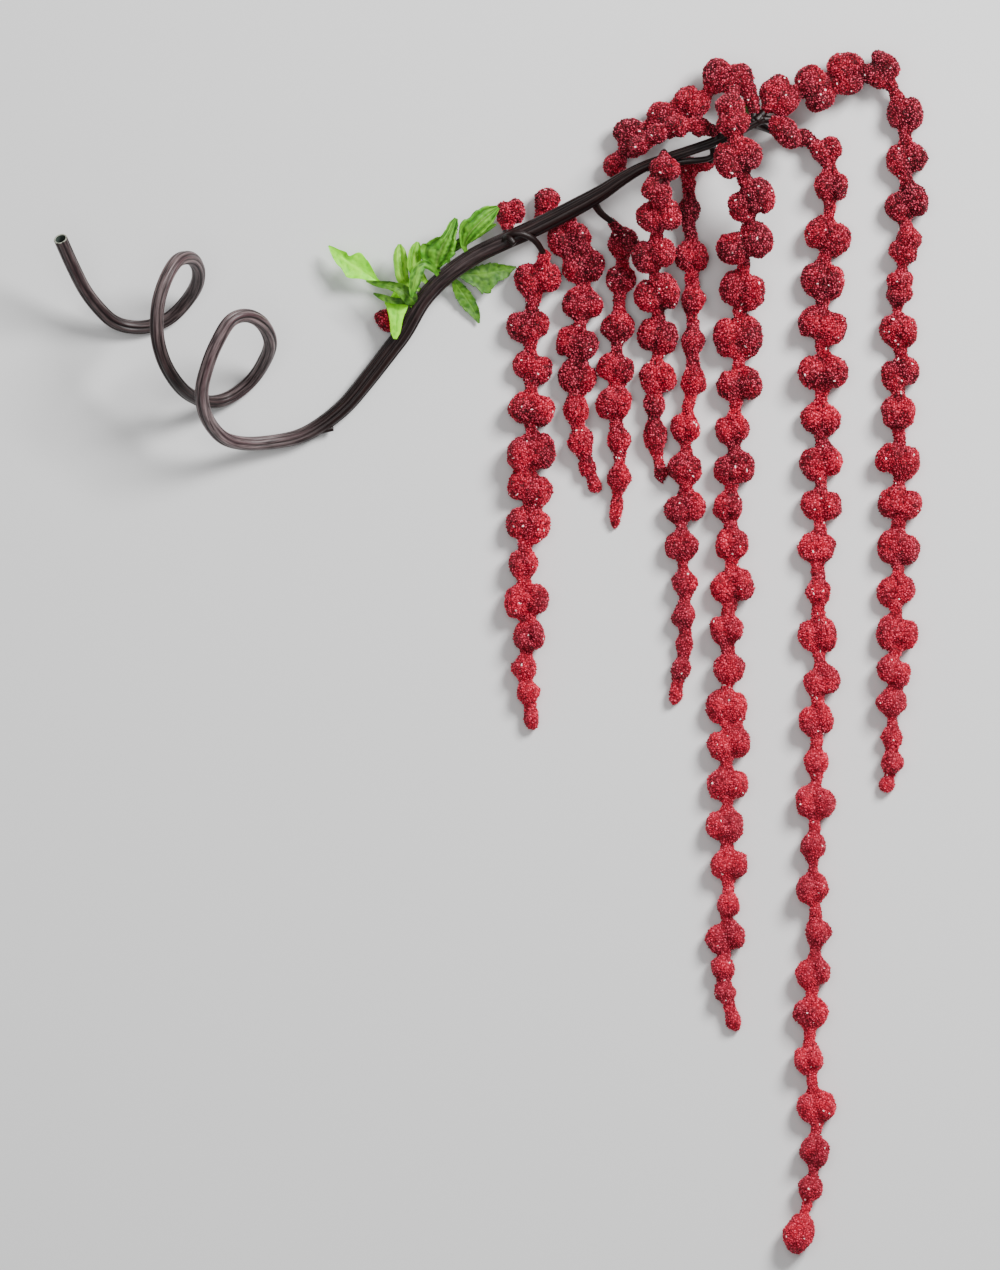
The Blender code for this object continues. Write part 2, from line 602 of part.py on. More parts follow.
def make_stem(material):
    """The ribbed stem with its bore, twigs and side shoots, joined in one body."""
    points, radii = stem_line()
    rings = tube_rings(points, radii, STEM_SIDES, STEM_RIB)
    start = points[0]
    inward = (points[1] - start).normalized()
    mouth = [start + (place - start).normalized() * BORE_RADIUS for place in rings[0]]
    bore_floor = [place + inward * BORE_DEPTH for place in mouth]
    body = loft([bore_floor, mouth] + rings)
    rest_on_surface(body)
    stem = finish_object(body, "stem", material)
    joined = bpy.data.collections.new("stem_parts")
    bpy.context.scene.collection.children.link(joined)
    lines = [twig_line(bare, beads) for bare, beads in STRANDS.values()]
    lines += [smooth_route(route, TWIG_STEP) for route in SHOOTS]
    for number, line in enumerate(lines):
        steps = len(line) - 1
        widths = [
            TWIG_ROOT_RADIUS + (TWIG_END_RADIUS - TWIG_ROOT_RADIUS) * i / steps
            for i in range(steps + 1)
        ]
        body = loft(tube_rings(line, widths, TWIG_SIDES))
        twig = finish_object(body, f"twig_{number}", material)
        bpy.context.scene.collection.objects.unlink(twig)
        joined.objects.link(twig)
    union = stem.modifiers.new("joined", "BOOLEAN")
    union.operation = "UNION"
    union.operand_type = "COLLECTION"
    union.collection = joined
    union.solver = "EXACT"
    apply_modifiers(stem)
    for twig in list(joined.objects):
        bpy.data.objects.remove(twig, do_unlink=True)
    bpy.data.collections.remove(joined)
    return stem


def apply_modifiers(thing):
    """Turns an object's mesh into its finished form and drops its modifiers."""
    graph = bpy.context.evaluated_depsgraph_get()
    finished = bpy.data.meshes.new_from_object(thing.evaluated_get(graph))
    former = thing.data
    thing.modifiers.clear()
    thing.data = finished
    bpy.data.meshes.remove(former)
    finished.name = thing.name


def make_leaf(name, spec, material):
    """A thin arched blade with a waved edge, its stalk's end at the stem."""
    place, points, left, right, wave, cup = spec
    line, radii = stem_line()
    near = min(
        range(len(line)),
        key=lambda i: (line[i].x - place[0]) ** 2 + (line[i].y - place[1]) ** 2,
    )
    toward = (Vector(points[0]) - line[near]).normalized()
    stand = place[2] if len(place) > 2 else LEAF_STAND
    base = line[near] + toward * (radii[near] * (1 + STEM_RIB) + SEAT_GAP + stand)
    midrib = smooth_route((base, *points), BLADE_STEP)
    rows = len(left) - 1
    bm = bmesh.new()
    grid = bmesh.ops.create_grid(
        bm, x_segments=BLADE_COLUMNS, y_segments=rows, size=1.0
    )["verts"]
    draw = random.Random(name)
    shake = [[draw.uniform(-1, 1) for _ in range(BLADE_COLUMNS + 1)] for _ in range(rows + 1)]
    headings = route_headings(midrib)
    bmesh.ops.triangulate(bm, faces=bm.faces)
    for vertex in grid:
        row = round((vertex.co.y + 1) / 2 * rows)
        column = round((vertex.co.x + 1) / 2 * BLADE_COLUMNS)
        across = column / (BLADE_COLUMNS / 2) - 1
        at = round(row / rows * (len(midrib) - 1))
        heading = headings[at]
        side = heading.cross(Vector((0, 0, 1))).normalized()
        half = left[row] if across < 0 else right[row]
        full = min(1.0, half / BLADE_FULL_HALF)
        rise = cup * across ** 2 * full + wave * shake[row][column] * abs(across) * full
        vertex.co = midrib[at] + side * across * half + Vector((0, 0, rise))
    bottom = list(bm.faces)
    top = bmesh.ops.extrude_face_region(bm, geom=bottom)["geom"]
    lifted = [item for item in top if isinstance(item, bmesh.types.BMVert)]
    bmesh.ops.translate(bm, verts=lifted, vec=(0, 0, BLADE_THICK))
    rest_on_surface(bm)
    return finish_object(bm, name, material)


def main():
    """Builds the stem, its strands and buds, and its leaves."""
    clear_scene()
    make_stem(plain_material("stem", STEM_BROWN, 0.4))
    for name, (bare, beads) in STRANDS.items():
        make_strand(name, bare, beads, plain_material(name, CRIMSON, 0.8))
    for name, (colour, *spec) in LEAVES.items():
        make_leaf(name, spec, plain_material(name, colour, 0.55))


main()
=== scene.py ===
"""Looks of a dried amaranth stem, cut and lying on a flat surface.

Crimson strands of floret-covered clusters hang from a ribbed, hollow stem with two
curls, and green leaves stand round its middle. Places are in millimetres until each
piece is finished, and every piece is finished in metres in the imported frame.
"""

import math
import random

import bmesh
import bpy
from mathutils import Matrix, Vector, noise


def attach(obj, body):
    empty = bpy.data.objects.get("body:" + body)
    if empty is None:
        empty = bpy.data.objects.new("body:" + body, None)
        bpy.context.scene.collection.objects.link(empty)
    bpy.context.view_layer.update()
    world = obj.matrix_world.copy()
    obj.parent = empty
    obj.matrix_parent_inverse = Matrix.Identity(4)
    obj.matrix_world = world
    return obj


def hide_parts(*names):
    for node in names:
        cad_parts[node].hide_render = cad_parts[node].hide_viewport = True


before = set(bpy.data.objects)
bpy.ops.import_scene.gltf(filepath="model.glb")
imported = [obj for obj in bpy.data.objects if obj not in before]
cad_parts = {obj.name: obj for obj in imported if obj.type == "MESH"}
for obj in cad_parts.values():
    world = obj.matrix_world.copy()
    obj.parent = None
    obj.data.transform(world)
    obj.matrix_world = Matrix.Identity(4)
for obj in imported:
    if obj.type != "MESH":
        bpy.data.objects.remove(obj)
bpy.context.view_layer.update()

MM = 0.001

# The origin's place in the millimetre coordinates of the routes below
CENTRE_X = 2.35
CENTRE_Y = -0.8

# Nothing reaches lower than this above the surface
LIE_CLEAR = 0.05

# Routes: the pieces of curve between two of their points, and how level a heading has to
# be to give a sideways direction of its own
ROUTE_PIECES = 12
LEVEL_LEAST = 0.35

# Places of the colour sockets on a mixing node
COLOUR_A = 6
COLOUR_B = 7
COLOUR_OUT = 2

# Clusters: the rule for a bead's length and depth, and how far it sinks onto the surface
BEAD_TALL_SHARE = 0.40
BEAD_TALL_BASE = 7.6
BEAD_DEPTH_SUM = 32.0
BEAD_DEPTH_LEAST = 0.78
BEAD_DEPTH_MOST = 1.2
BEAD_REST_SINK = 1.7

# The cord between two beads, from a strand's root to its tip
CORD_RADIUS = 3.4
CORD_END_RADIUS = 2.9
CORD_UNEVEN = (0.8, 1.15)
CORD_STEP = 1.9
CORD_STRAY = 0.6

# A bead narrower than the first width has one lobe with a bulge at its side, and so has
# this share of the beads up to the second width
LOBED_FROM = 13.0
SINGLE_TO = 19.0
SINGLE_SHARE = 0.22
SINGLE_LEAST = 0.86
BULGE_OUT = 0.35
BULGE_ALONG = 0.3
BULGE_SIZE = (0.65, 0.55, 0.8)

# The other beads have a pair of lobes. The first one's share of the bead lies between the
# first two values, and both shares make the sum. Pairs are turned, and lobes askew.
LOBE_LEAST = 0.50
LOBE_MOST = 0.64
LOBE_SUM = 1.12
LOBE_TURN = 0.38
LOBE_SHORT = (0.84, 1.04)
LOBE_DEEP = (0.82, 1.0)
LOBE_ASKEW = 0.12

# This share of the pairs at least this wide have a third lobe on top
THIRD_FROM = 16.0
THIRD_SHARE = 0.55
THIRD_UP = 0.45
THIRD_OUT = 0.35
THIRD_STRAY = 0.3
THIRD_SIZE = (0.5, 0.6)
THIRD_LONG = 1.15

# Small knobs stand on every bead, half sunk into its skin
KNOBS = 3
KNOB_ALONG = 0.7
KNOB_REACH = 0.8
KNOB_SIZE = (0.2, 0.32)

# Dried florets stand about this far apart, and rise and lean this far out of the cluster
FLORET_PITCH = 1.15
FLORET_RISE = 0.5
FLORET_UNEVEN = (0.5, 1.3)
FLORET_LEAN = 0.3
FLORET_JITTER = 0.22

# Share of the skin's edges turned to their next corners, so that its rows break up
TURNED_SHARE = 0.22

# The finish reads these tones: gaps near 0 get painted shade, tips near 1 are pale, partly as
# painted light, and rare painted glints lie above
GAP_SHADE_TONE = 0.1
TIP_TONES = (0.12, 1.0)
GLINT_TONE = 4.0
GLINT_SHARE = 0.006

# Soft lumps on each lobe: how wide and steep they are, and where they neither rise nor sink
LUMP_WIDE = 4.6
LUMP_RISE = 1.6
LUMP_MIDDLE = 0.45

# A crease is in full shade where this much smoothing would lift it this far
CREASE_SMOOTHS = 10
CREASE_FULL = 0.95

# The skin's rows of faces run at an odd angle, so that no row lines up with an axis
SKIN_TURN = Matrix.Rotation(0.61, 4, "X") @ Matrix.Rotation(0.47, 4, "Y")

# The stem's tube: its radius, the shares of its route where that grows and shrinks, the
# grid it is rolled from, and how near two points of its seam are to be welded
COIL_RADIUS = 3.15
UPPER_RADIUS = 4.1
FORK_RADIUS = 2.4
THICK_FROM = 0.58
THICK_TO = 0.70
THIN_FROM = 0.86
THIN_TO = 0.93
STALK_SIDES = 84
STALK_STEP = 1.5
WELD = 0.0001

# The stem's cut end: a rounded rim of pith round the bore
RIM_RADIUS = 2.85
RIM_RISE = 0.25
BORE_RADIUS = 2.4
BORE_DEPTH = 11.0
PITH_SLOT = 1
BORE_SLOT = 2

# The stem's ribs: rounded, uneven in width, and swaying as they run along it
RIB_COUNT = 7
RIB_ROUND = 0.05
RIB_TWIST = 0.003
RIB_UNEVEN = 0.16
RIB_PHASE = 1.3
RIB_SWAY = 0.12
RIB_SWAY_LENGTH = 40

# The narrow grooves between them, each with a depth that changes along it
GROOVE_WIDE = 0.15
GROOVE_DEPTH = 0.15
GROOVE_EVEN = 0.75
GROOVE_CHANGE = 0.6
GROOVE_LENGTH = 60
GROOVE_APART = 1.7

# The stem swells and shrinks by this share over about this length
SWELL = 0.035
SWELL_LENGTH = 22

# Fibre streaks on the stem are this share as dense along it as round it
STREAK_STRETCH = 0.07

# Rows of the random patterns, one for each use
SWAY_ROW = 7
SWELL_ROW = 3

# Twigs between the stem and the strands
TWIG_SIDES = 15
TWIG_STEP = 1.0
TWIG_ROOT_RADIUS = 1.8
TWIG_END_RADIUS = 1.25
TWIG_FLARE = 0.9
TWIG_FLARE_LENGTH = 3.0
TWIG_INTO_BEAD = 0.5
TWIG_RIBS = 5
TWIG_GROOVE = 0.08
# A twig's grooves get this share of that painted shade
TWIG_GROOVE_TONE = 0.5

# Leaf blades: the grid that is bent to a blade, and how far its stalk sinks into the stem
LEAF_COLUMNS = 28
LEAF_ROWS = 72
LEAF_THICK = 0.35
LEAF_STEP = 0.4
LEAF_SINK = 0.8

# No side of a blade is narrower than the first width, and from the second on it has its
# full teeth and folds
HALF_LEAST = 0.3
HALF_FULL = 3.0

# Veins: the midrib, and slanted side veins that start after the stalk
MIDRIB_WIDE = 0.09
MIDRIB_FADE = 0.5
SIDE_VEINS = 7.0
SIDE_VEIN_SHARE = 0.35
VEIN_SLANT = 1.3
VEIN_WIDE = 0.11
VEIN_SINK = 0.16
VEINS_START = (0.12, 0.3)

# Waves of the edge, small puckers, teeth and lengthwise folds
RUFFLE = 2.2
RUFFLE_EDGE = 1.5
RUFFLE_ACROSS = 4.5
RUFFLE_ALONG = 5.0
PUCKER = 0.6
PUCKER_FINER = 2.7
TOOTH_MIDDLE = 0.6
TEETH_START = (0.15, 0.35)
FOLDS_START = (0.1, 0.3)
FOLD_SHADE = 1.6

# Each leaf's teeth: how many on a side and how deep, then its lengthwise folds: how many
# across the blade and how deep
LEAF_EDGES = {
    "leaf_1": (5.0, 0.05, 0.0, 0.0),
    "leaf_2": (6.0, 0.12, 0.0, 0.0),
    "leaf_3": (4.0, 0.03, 1.0, 0.25),
    "leaf_4": (3.0, 0.02, 2.0, 0.35),
    "leaf_5": (3.0, 0.02, 2.0, 0.35),
    "leaf_6": (3.0, 0.04, 1.5, 0.3),
    "leaf_7": (6.0, 0.16, 3.5, 0.55),
    "leaf_8": (5.0, 0.08, 3.5, 0.6),
    "leaf_9": (9.0, 0.16, 0.0, 0.0),
    "leaf_10": (7.0, 0.14, 0.0, 0.0),
    "leaf_11": (5.0, 0.1, 1.0, 0.2),
    "leaf_12": (5.0, 0.1, 0.0, 0.0),
    "leaf_13": (4.0, 0.05, 2.0, 0.4),
}

# The stage, in metres, with the camera straight above and looking down
FLOOR_COLOUR = "#dedede"
FLOOR_HALF = 4.0
WORLD_STRENGTH = 0.3
CAMERA_LENS = 600.0
CAMERA_SENSOR = 36.0
CAMERA_PLACE = (0.0035, 0.00845, 9.5445)

# Each light: its place, how wide it is and its power in watts
LIGHTS = {
    "key_light": ((0.95, 1.0, 1.25), 0.6, 58.0),
    "top_light": ((-0.2, 0.2, 1.9), 1.2, 14.0),
}

# Centre line of the stem from its hollow cut end through two curls to its last fork
STEM_ROUTE = (
    (-191.5, 185.5, 42), (-186.5, 174, 31), (-181, 163, 21), (-175, 155, 13.5),
    (-168.5, 149, 8), (-160.5, 146.5, 4.5), (-151.5, 147, 3), (-142.5, 151, 3.4),
    (-135, 158.5, 8), (-130.5, 166, 17), (-130, 173, 28), (-133.5, 177, 38),
    (-139, 175.5, 46), (-144, 167.5, 51), (-147.5, 156, 52), (-148, 142.5, 49),
    (-145, 130.5, 41.5), (-139, 120.5, 31), (-132.5, 115, 19.5), (-124.5, 112.5, 9),
    (-115.5, 115, 3.4), (-106.5, 122, 4), (-100.5, 130.5, 12), (-97.5, 139, 24),
    (-100.5, 147, 37), (-107.5, 151, 46), (-115, 148.5, 51), (-121, 139, 52),
    (-125.5, 128, 50), (-128, 116.5, 44), (-126, 105.5, 34), (-119.5, 97, 22),
    (-110, 94, 12.5), (-97.5, 94.5, 7), (-85, 97, 5), (-74.5, 102.5, 4.2),
    (-64, 111, 4.2), (-55, 121.5, 4.6), (-44.5, 135, 5.5), (-37, 145, 7),
    (-29, 158.5, 9.5), (-19, 169, 12), (-5.5, 178.5, 14), (8, 185, 15.5),
    (21.5, 191, 16.5), (37.5, 199, 17), (51, 206.5, 18), (61, 213, 20),
    (71, 218.5, 22), (85, 223.5, 22.5), (101, 229, 22.5), (114, 235, 22),
    (124.5, 240.5, 21),
)

# How dark the stem is coloured in even steps along that line, from plum-grey to near black
STEM_TONES = (
    0.55, 0.5, 0.6, 0.4, 0.1, 0.4, 0.95, 0.6, 0.2, 0.0, 0.0, 0.0, 0.1, 1.0, 1.0, 0.85, 0.85,
    1.0, 1.0, 1.0, 1.0,
)

# Side shoots that carry no strand: a second fork twig, and two nubs
SHOOTS = (
    ((72, 218.6, 22), (86.5, 220.5, 19.5), (100.5, 222.5, 18.5), (101, 229, 22)),
    ((8, 184, 16), (9.5, 186.5, 20.5), (12.5, 183.5, 21.5)),
    ((-79, 99.2, 4.5), (-73, 100.2, 4.4), (-69.2, 100.8, 4.4)),
)

# Each strand: the bare twig's points from inside the stem to the first floret, then its
# beads from there to the tip. A bead is (x, y, wide), with its length as a fourth number
# and its middle's height as a fifth where the usual ones don't fit.
STRANDS = {
    "strand_1": (
        ((6, 184.5, 16), (13, 188.5, 21.3), (21, 185.5, 20), (25.5, 178.5, 13.5)),
        ((23, 168.5, 21.5), (18.5, 147, 19.5), (20.5, 128, 18.5), (20, 109.5, 21),
         (20, 90, 22.5), (19.5, 73.5, 20.5), (18.5, 57, 20), (16.5, 40, 13),
         (18, 23.5, 21), (19, 7, 14.5), (17, -7, 12), (18.5, -18, 11, 11),
         (20, -29.5, 8, 12)),
    ),
    "strand_2": (
        ((37.5, 199, 15), (37.5, 195, 11)),
        ((37, 185.5, 20), (43.5, 173.5, 19.5), (43, 156.5, 18.5), (40.5, 139, 19.5),
         (40.5, 123.5, 17.5), (40, 109, 12.5, 15), (42.5, 94, 12.5, 15),
         (45.5, 83, 8.5, 9), (48.5, 75.5, 7, 8)),
    ),
    "strand_3": (
        ((47, 204.5, 17), (51, 198, 12), (57, 193, 8.5)),
        ((62, 184, 14.5, 14, 7), (60.5, 167.5, 13.5), (59, 146.5, 16.5),
         (58, 128, 17.5), (57, 112.5, 16), (59.5, 95.5, 11), (59.5, 78.5, 12),
         (58.2, 63, 6.4, 17)),
    ),
    "strand_4": (
        ((79, 221.5, 22), (79.5, 224.5, 28), (80, 223.5, 33)),
        ((80, 217, 14, 11, 37), (76.5, 207, 14, 11, 37), (77, 195.5, 21, 15, 31),
         (75, 178.5, 20.5, 16, 20.5), (76.5, 160.5, 21, 17, 10.5), (77, 142, 19),
         (77, 124, 17), (75.5, 111, 11, 11), (75.5, 97.5, 11.5, 17),
         (78, 82, 6.5, 13)),
    ),
    "strand_5": (
        ((101, 229, 21), (102, 225, 15), (100, 220, 10)),
        ((90.5, 218.5, 10, 11, 7), (91, 199, 12.5), (92, 178, 15.5), (92.5, 159, 12.5),
         (92.7, 139.5, 11.2), (92.9, 122, 12.6), (89.5, 101, 13), (89, 82, 15.5),
         (89, 65, 19), (88, 48, 17), (89, 31, 12), (89, 16.5, 12), (89, 3.5, 9),
         (87.5, -7.5, 9.5, 10), (85, -19, 7, 10)),
    ),
    "strand_6": (
        ((113, 234.5, 22.5), (111.5, 243, 26.5), (111, 250.5, 31), (111, 253, 36)),
        ((110.5, 241.5, 16.5, 19, 39), (113, 221.5, 22.5, 17, 38),
         (119, 202.5, 23, 16, 29.5), (116, 183.5, 27, 16, 20), (115, 163.5, 21.5, 17, 11.5),
         (113, 142.5, 22.5, 20), (113.5, 120.5, 20.5), (110.5, 101, 15.5),
         (111.5, 82, 19.5), (108.5, 65, 13.5), (110.5, 48.5, 15), (110.5, 30, 20),
         (108, 10.5, 15), (109, -7.5, 15.5), (108, -24.5, 19), (109, -41, 20),
         (108.5, -59.5, 19), (107, -78, 17), (109, -96, 17), (109, -114, 11.5),
         (107.5, -129, 18), (106.5, -142.5, 11.5, 11), (107, -153.5, 11, 10),
         (111, -165.5, 7.5, 12)),
    ),
    "strand_7": (
        ((120, 238, 21), (126, 235.5, 14), (132, 233, 7.5)),
        ((142, 232, 9, 10, 5), (153, 226.5, 14, 12), (155, 210, 15),
         (153.5, 187, 21.5), (151, 167, 20.5), (151, 146.5, 23), (151.5, 125.5, 23),
         (150.5, 105.5, 18.5), (150.5, 85, 19.5), (150.5, 66, 19), (148.5, 47, 18),
         (149.5, 27, 12.5), (149, 7.5, 18), (151, -13, 17), (148, -30, 16),
         (148.5, -49.5, 12.5), (148, -68, 18.5), (147, -87, 12.5), (146.5, -106.5, 14.5),
         (149, -126.5, 12.5), (147, -145, 16), (146, -162.5, 17), (145, -184, 13.5),
         (148.5, -205, 18), (147.5, -225, 13.5), (146, -241.5, 12),
         (140.5, -262, 14, 19)),
    ),
    "strand_8": (
        ((121, 239, 21.5), (124, 242, 21), (126, 245.5, 20.5)),
        ((132.2, 250.6, 19, 16, 19), (147.2, 253.7, 22.5, 15, 14.5),
         (162, 260.7, 19.5, 18, 11), (177.6, 262, 17, 15.5, 9.5), (188.5, 243.5, 17, 16),
         (189, 222.5, 19), (189, 202, 20.5), (188.5, 183.5, 14, 17),
         (185.5, 164.5, 14.5, 15), (185.5, 144.5, 17, 16), (186.5, 125.5, 18),
         (185.5, 107.5, 16), (185, 85.5, 20.5),
         (186, 67, 20), (185.5, 47.5, 19.5), (184.5, 28, 18), (185, 9, 19.5),
         (183.5, -8.5, 16), (182.5, -22.5, 15), (182.5, -38, 10), (183, -49.5, 11, 10),
         (180.5, -59.5, 7.5, 8)),
    ),
    "crown_strand": (
        ((119.5, 238.2, 21.3), (120.3, 243.5, 20)),
        ((119.3, 247.5, 7, 6, 18.5), (118, 252.5, 8, 6, 17.5), (108.5, 258.7, 17, 24, 14.5),
         (92, 247.5, 15.5, 15, 10.5), (79.5, 239.5, 18.5, 15, 9.5), (64.5, 231.5, 18, 15, 9),
         (57.5, 219.5, 11, 12, 6.5)),
    ),
    "crown_low": (
        ((103, 229.8, 22), (103, 234.5, 24)),
        ((95.5, 236.5, 10.5, 10, 26.5), (86, 236.8, 11, 10, 27), (76.5, 232.8, 10, 10, 26.5),
         (68.5, 227.8, 9.5, 10, 26)),
    ),
    "bud_end": (
        ((122, 239.3, 21), (128, 239.5, 20.5)),
        ((134.2, 233.6, 12.5, 18, 21),),
    ),
    "bud_upper": (
        ((8, 185, 15.5), (9.3, 191.6, 14)),
        ((10.5, 198, 13.5, 12, 12),),
    ),
    "bud_under": (
        ((23.5, 192, 14), (24.5, 191.5, 9), (24.5, 196, 6)),
        ((27, 203.5, 12.5, 12, 5.5),),
    ),
    "bud_low": (
        ((-37, 145, 7), (-41.3, 147.5, 6)),
        ((-44.8, 149.4, 10, 12.6, 4.6),),
    ),
}

# Each leaf: its green, where on the stem it leaves from, the midrib's further points, the
# half widths to its left and right in even steps from base to tip, the waves of its edge
# and its cup.
LEAVES = {
    "leaf_1": (
        "bright", (-30.5, 156.2),
        ((-38, 161.2, 8), (-47.5, 165.9, 8), (-55.5, 171.2, 9.5), (-63.5, 176.6, 10),
         (-71.4, 183, 8.5)),
        (0.9, 0.9, 0.9, 0.9, 0.9, 0.9, 0.9, 0.9, 0.9, 1.1, 1.9, 2.6, 3.3, 4.4, 5.6, 6.1, 5.3,
         4.3, 4.1, 3.4, 2.6, 1.6, 0.4),
        (0.9, 0.9, 0.9, 0.9, 0.9, 0.9, 0.9, 0.9, 0.9, 1.0, 2.0, 3.1, 4.2, 5.1, 5.9, 6.5, 5.7,
         2.3, 3.0, 2.3, 1.6, 1.1, 0.4), 0.5, 1.2,
    ),
    "leaf_2": (
        "dark", (-30.5, 156),
        ((-34.5, 159.5, 18), (-38.5, 163, 19.5), (-44.5, 165.2, 19), (-54.4, 166.9, 16.5)),
        (0.9, 2.4, 3.4, 3.6, 3.2, 2.6, 2.0, 1.9, 2.0, 1.8, 1.2, 0.4),
        (0.9, 2.0, 3.0, 3.2, 3.0, 2.6, 2.2, 1.8, 1.4, 1.0, 0.8, 0.4), 0.6, 0.9,
    ),
    "leaf_3": (
        "bright", (-32, 153.5),
        ((-36.5, 159.5, 11), (-40.4, 161.8, 12.2), (-40.6, 156, 13.8), (-41, 148.5, 13.8),
         (-41.4, 140.9, 12.5)),
        (0.9, 0.9, 0.9, 0.9, 1.2, 5.2, 4.7, 3.7, 3.0, 2.6, 2.1, 0.8),
        (0.9, 0.9, 0.9, 1.0, 2.4, 5.4, 4.7, 3.7, 3.0, 2.6, 2.1, 0.8), 0.3, -0.8,
    ),
    "leaf_4": (
        "pale", (-26.5, 161.5),
        ((-33, 164.5, 11), (-37.6, 168.5, 14), (-38.9, 175.7, 14.7), (-39.4, 183.7, 12.8)),
        (0.9, 0.9, 1.8, 2.8, 3.2, 3.2, 3.2, 3.3, 3.3, 3.0, 2.3, 0.8),
        (0.9, 0.9, 1.0, 1.4, 2.2, 2.8, 3.0, 3.2, 3.2, 3.0, 2.3, 0.8), 0.3, 1.0,
    ),
    "leaf_5": (
        "pale", (-24, 164),
        ((-29.5, 169, 13.5), (-32.8, 173, 16.5), (-32.6, 178.6, 17), (-31.2, 184.7, 14.5)),
        (0.9, 1.2, 2.0, 2.6, 2.8, 2.9, 3.0, 3.0, 2.9, 2.6, 2.0, 0.8),
        (0.9, 1.2, 1.8, 2.2, 2.6, 2.9, 3.1, 3.2, 3.0, 2.6, 2.0, 0.8), 0.4, 1.0,
    ),
    "leaf_6": (
        "mid", (-20, 168),
        ((-24.6, 172.4, 19), (-28.4, 174, 22), (-31.4, 170.6, 23), (-33, 165.2, 22.6),
         (-34, 159.4, 21.4)),
        (0.8, 0.9, 1.2, 1.4, 1.5, 2.0, 2.8, 3.2, 2.9, 2.3, 1.5, 0.5),
        (0.8, 1.0, 1.4, 1.8, 2.2, 2.5, 2.7, 2.7, 2.5, 2.1, 1.4, 0.5), 0.3, 0.6,
    ),
    "leaf_7": (
        "mid", (-20, 168.2),
        ((-22.6, 173.6, 15.8), (-21, 180, 19.5), (-17.6, 187, 20.5), (-13.9, 195.3, 16.5)),
        (0.9, 2.6, 6.2, 8.6, 9.2, 7.4, 5.0, 3.0, 2.4, 2.3, 1.9, 0.9),
        (0.9, 1.4, 3.0, 4.6, 6.0, 6.4, 5.8, 4.6, 3.4, 2.8, 2.2, 0.9), 0.9, 1.4,
    ),
    "leaf_8": (
        "mid", (-8, 177),
        ((-10.2, 184, 17.5), (-6.8, 189.6, 21), (-1.2, 195.2, 20.5), (5, 200.2, 16.5)),
        (0.9, 1.2, 2.2, 4.0, 5.8, 6.0, 5.0, 5.2, 4.8, 4.2, 2.8, 1.2),
        (0.9, 1.0, 2.0, 3.0, 3.6, 4.0, 4.3, 4.4, 4.2, 3.6, 2.2, 1.0), 0.8, 1.6,
    ),
    "leaf_9": (
        "dark", (-14.5, 172.8),
        ((-12, 170.7, 7.2), (-8, 170.2, 6.4), (-2, 170.4, 6), (5, 171.6, 5),
         (13.2, 173.5, 3.5)),
        (0.9, 1.2, 1.8, 2.6, 3.6, 4.2, 4.4, 4.4, 3.5, 2.4, 1.4, 0.4),
        (0.9, 1.6, 3.1, 4.6, 6.6, 9.4, 8.6, 5.6, 4.4, 4.0, 1.8, 0.4), 0.4, 0.5,
    ),
    "leaf_10": (
        "dark", (-17.5, 170.2),
        ((-12.5, 163.8, 5), (-8.6, 158.4, 3.2), (-5.6, 153.4, 2.6), (-3.6, 148.2, 2.4)),
        (0.9, 1.4, 2.0, 2.6, 3.0, 3.2, 3.2, 3.0, 2.6, 2.2, 1.4, 0.5),
        (0.9, 1.4, 2.2, 3.0, 3.6, 4.0, 4.0, 3.8, 3.2, 2.4, 1.5, 0.5), 0.4, 0.6,
    ),
    "leaf_11": (
        "dark", (115.5, 236),
        ((115.6, 241.5, 17), (117.3, 246.5, 12.5), (119.8, 251, 10)),
        (0.8, 1.0, 1.4, 2.0, 2.6, 3.0, 3.0, 2.8, 2.4, 1.8, 1.2, 0.4),
        (0.8, 1.0, 1.4, 2.0, 2.6, 3.0, 3.0, 2.8, 2.4, 1.8, 1.2, 0.4), 0.3, 0.6,
    ),
    "leaf_12": (
        "dark", (-31.5, 154.5),
        ((-36, 158, 15.8), (-41, 158.3, 16.4), (-46, 159.3, 16), (-51.2, 161.5, 14)),
        (0.9, 1.2, 1.6, 1.8, 1.8, 1.7, 1.7, 1.7, 1.6, 1.3, 0.9, 0.4),
        (0.9, 1.0, 1.2, 1.3, 1.3, 1.2, 1.2, 1.4, 1.5, 1.3, 0.9, 0.4), 0.4, 0.5,
    ),
    "leaf_13": (
        "dark", (-15.5, 171.6),
        ((-18, 178.2, 13.6), (-13.5, 182.8, 14.2), (-6.5, 187.4, 15), (-0.5, 190.6, 15.2),
         (4.2, 192.6, 15)),
        (0.9, 0.9, 1.4, 2.0, 2.4, 2.5, 2.5, 2.5, 2.3, 1.9, 1.3, 0.5),
        (0.9, 0.9, 1.2, 1.6, 2.0, 2.2, 2.3, 2.3, 2.2, 1.8, 1.3, 0.5), 0.5, 0.6,
    ),
}


def node(tree, kind, inputs=None, **settings):
    """Adds one shader node with its settings, and sets or links its inputs by name or place."""
    made = tree.nodes.new(kind)
    for key, value in settings.items():
        setattr(made, key, value)
    for key, value in (inputs or {}).items():
        socket = made.inputs[key]
        if isinstance(value, bpy.types.NodeSocket):
            tree.links.new(value, socket)
        else:
            socket.default_value = value
    return made


def hex_colour(text):
    """An sRGB hex value as a linear colour with full alpha."""
    shares = [int(text[i:i + 2], 16) / 255 for i in (1, 3, 5)]
    linear = [s / 12.92 if s <= 0.04045 else ((s + 0.055) / 1.055) ** 2.4 for s in shares]
    return (*linear, 1.0)


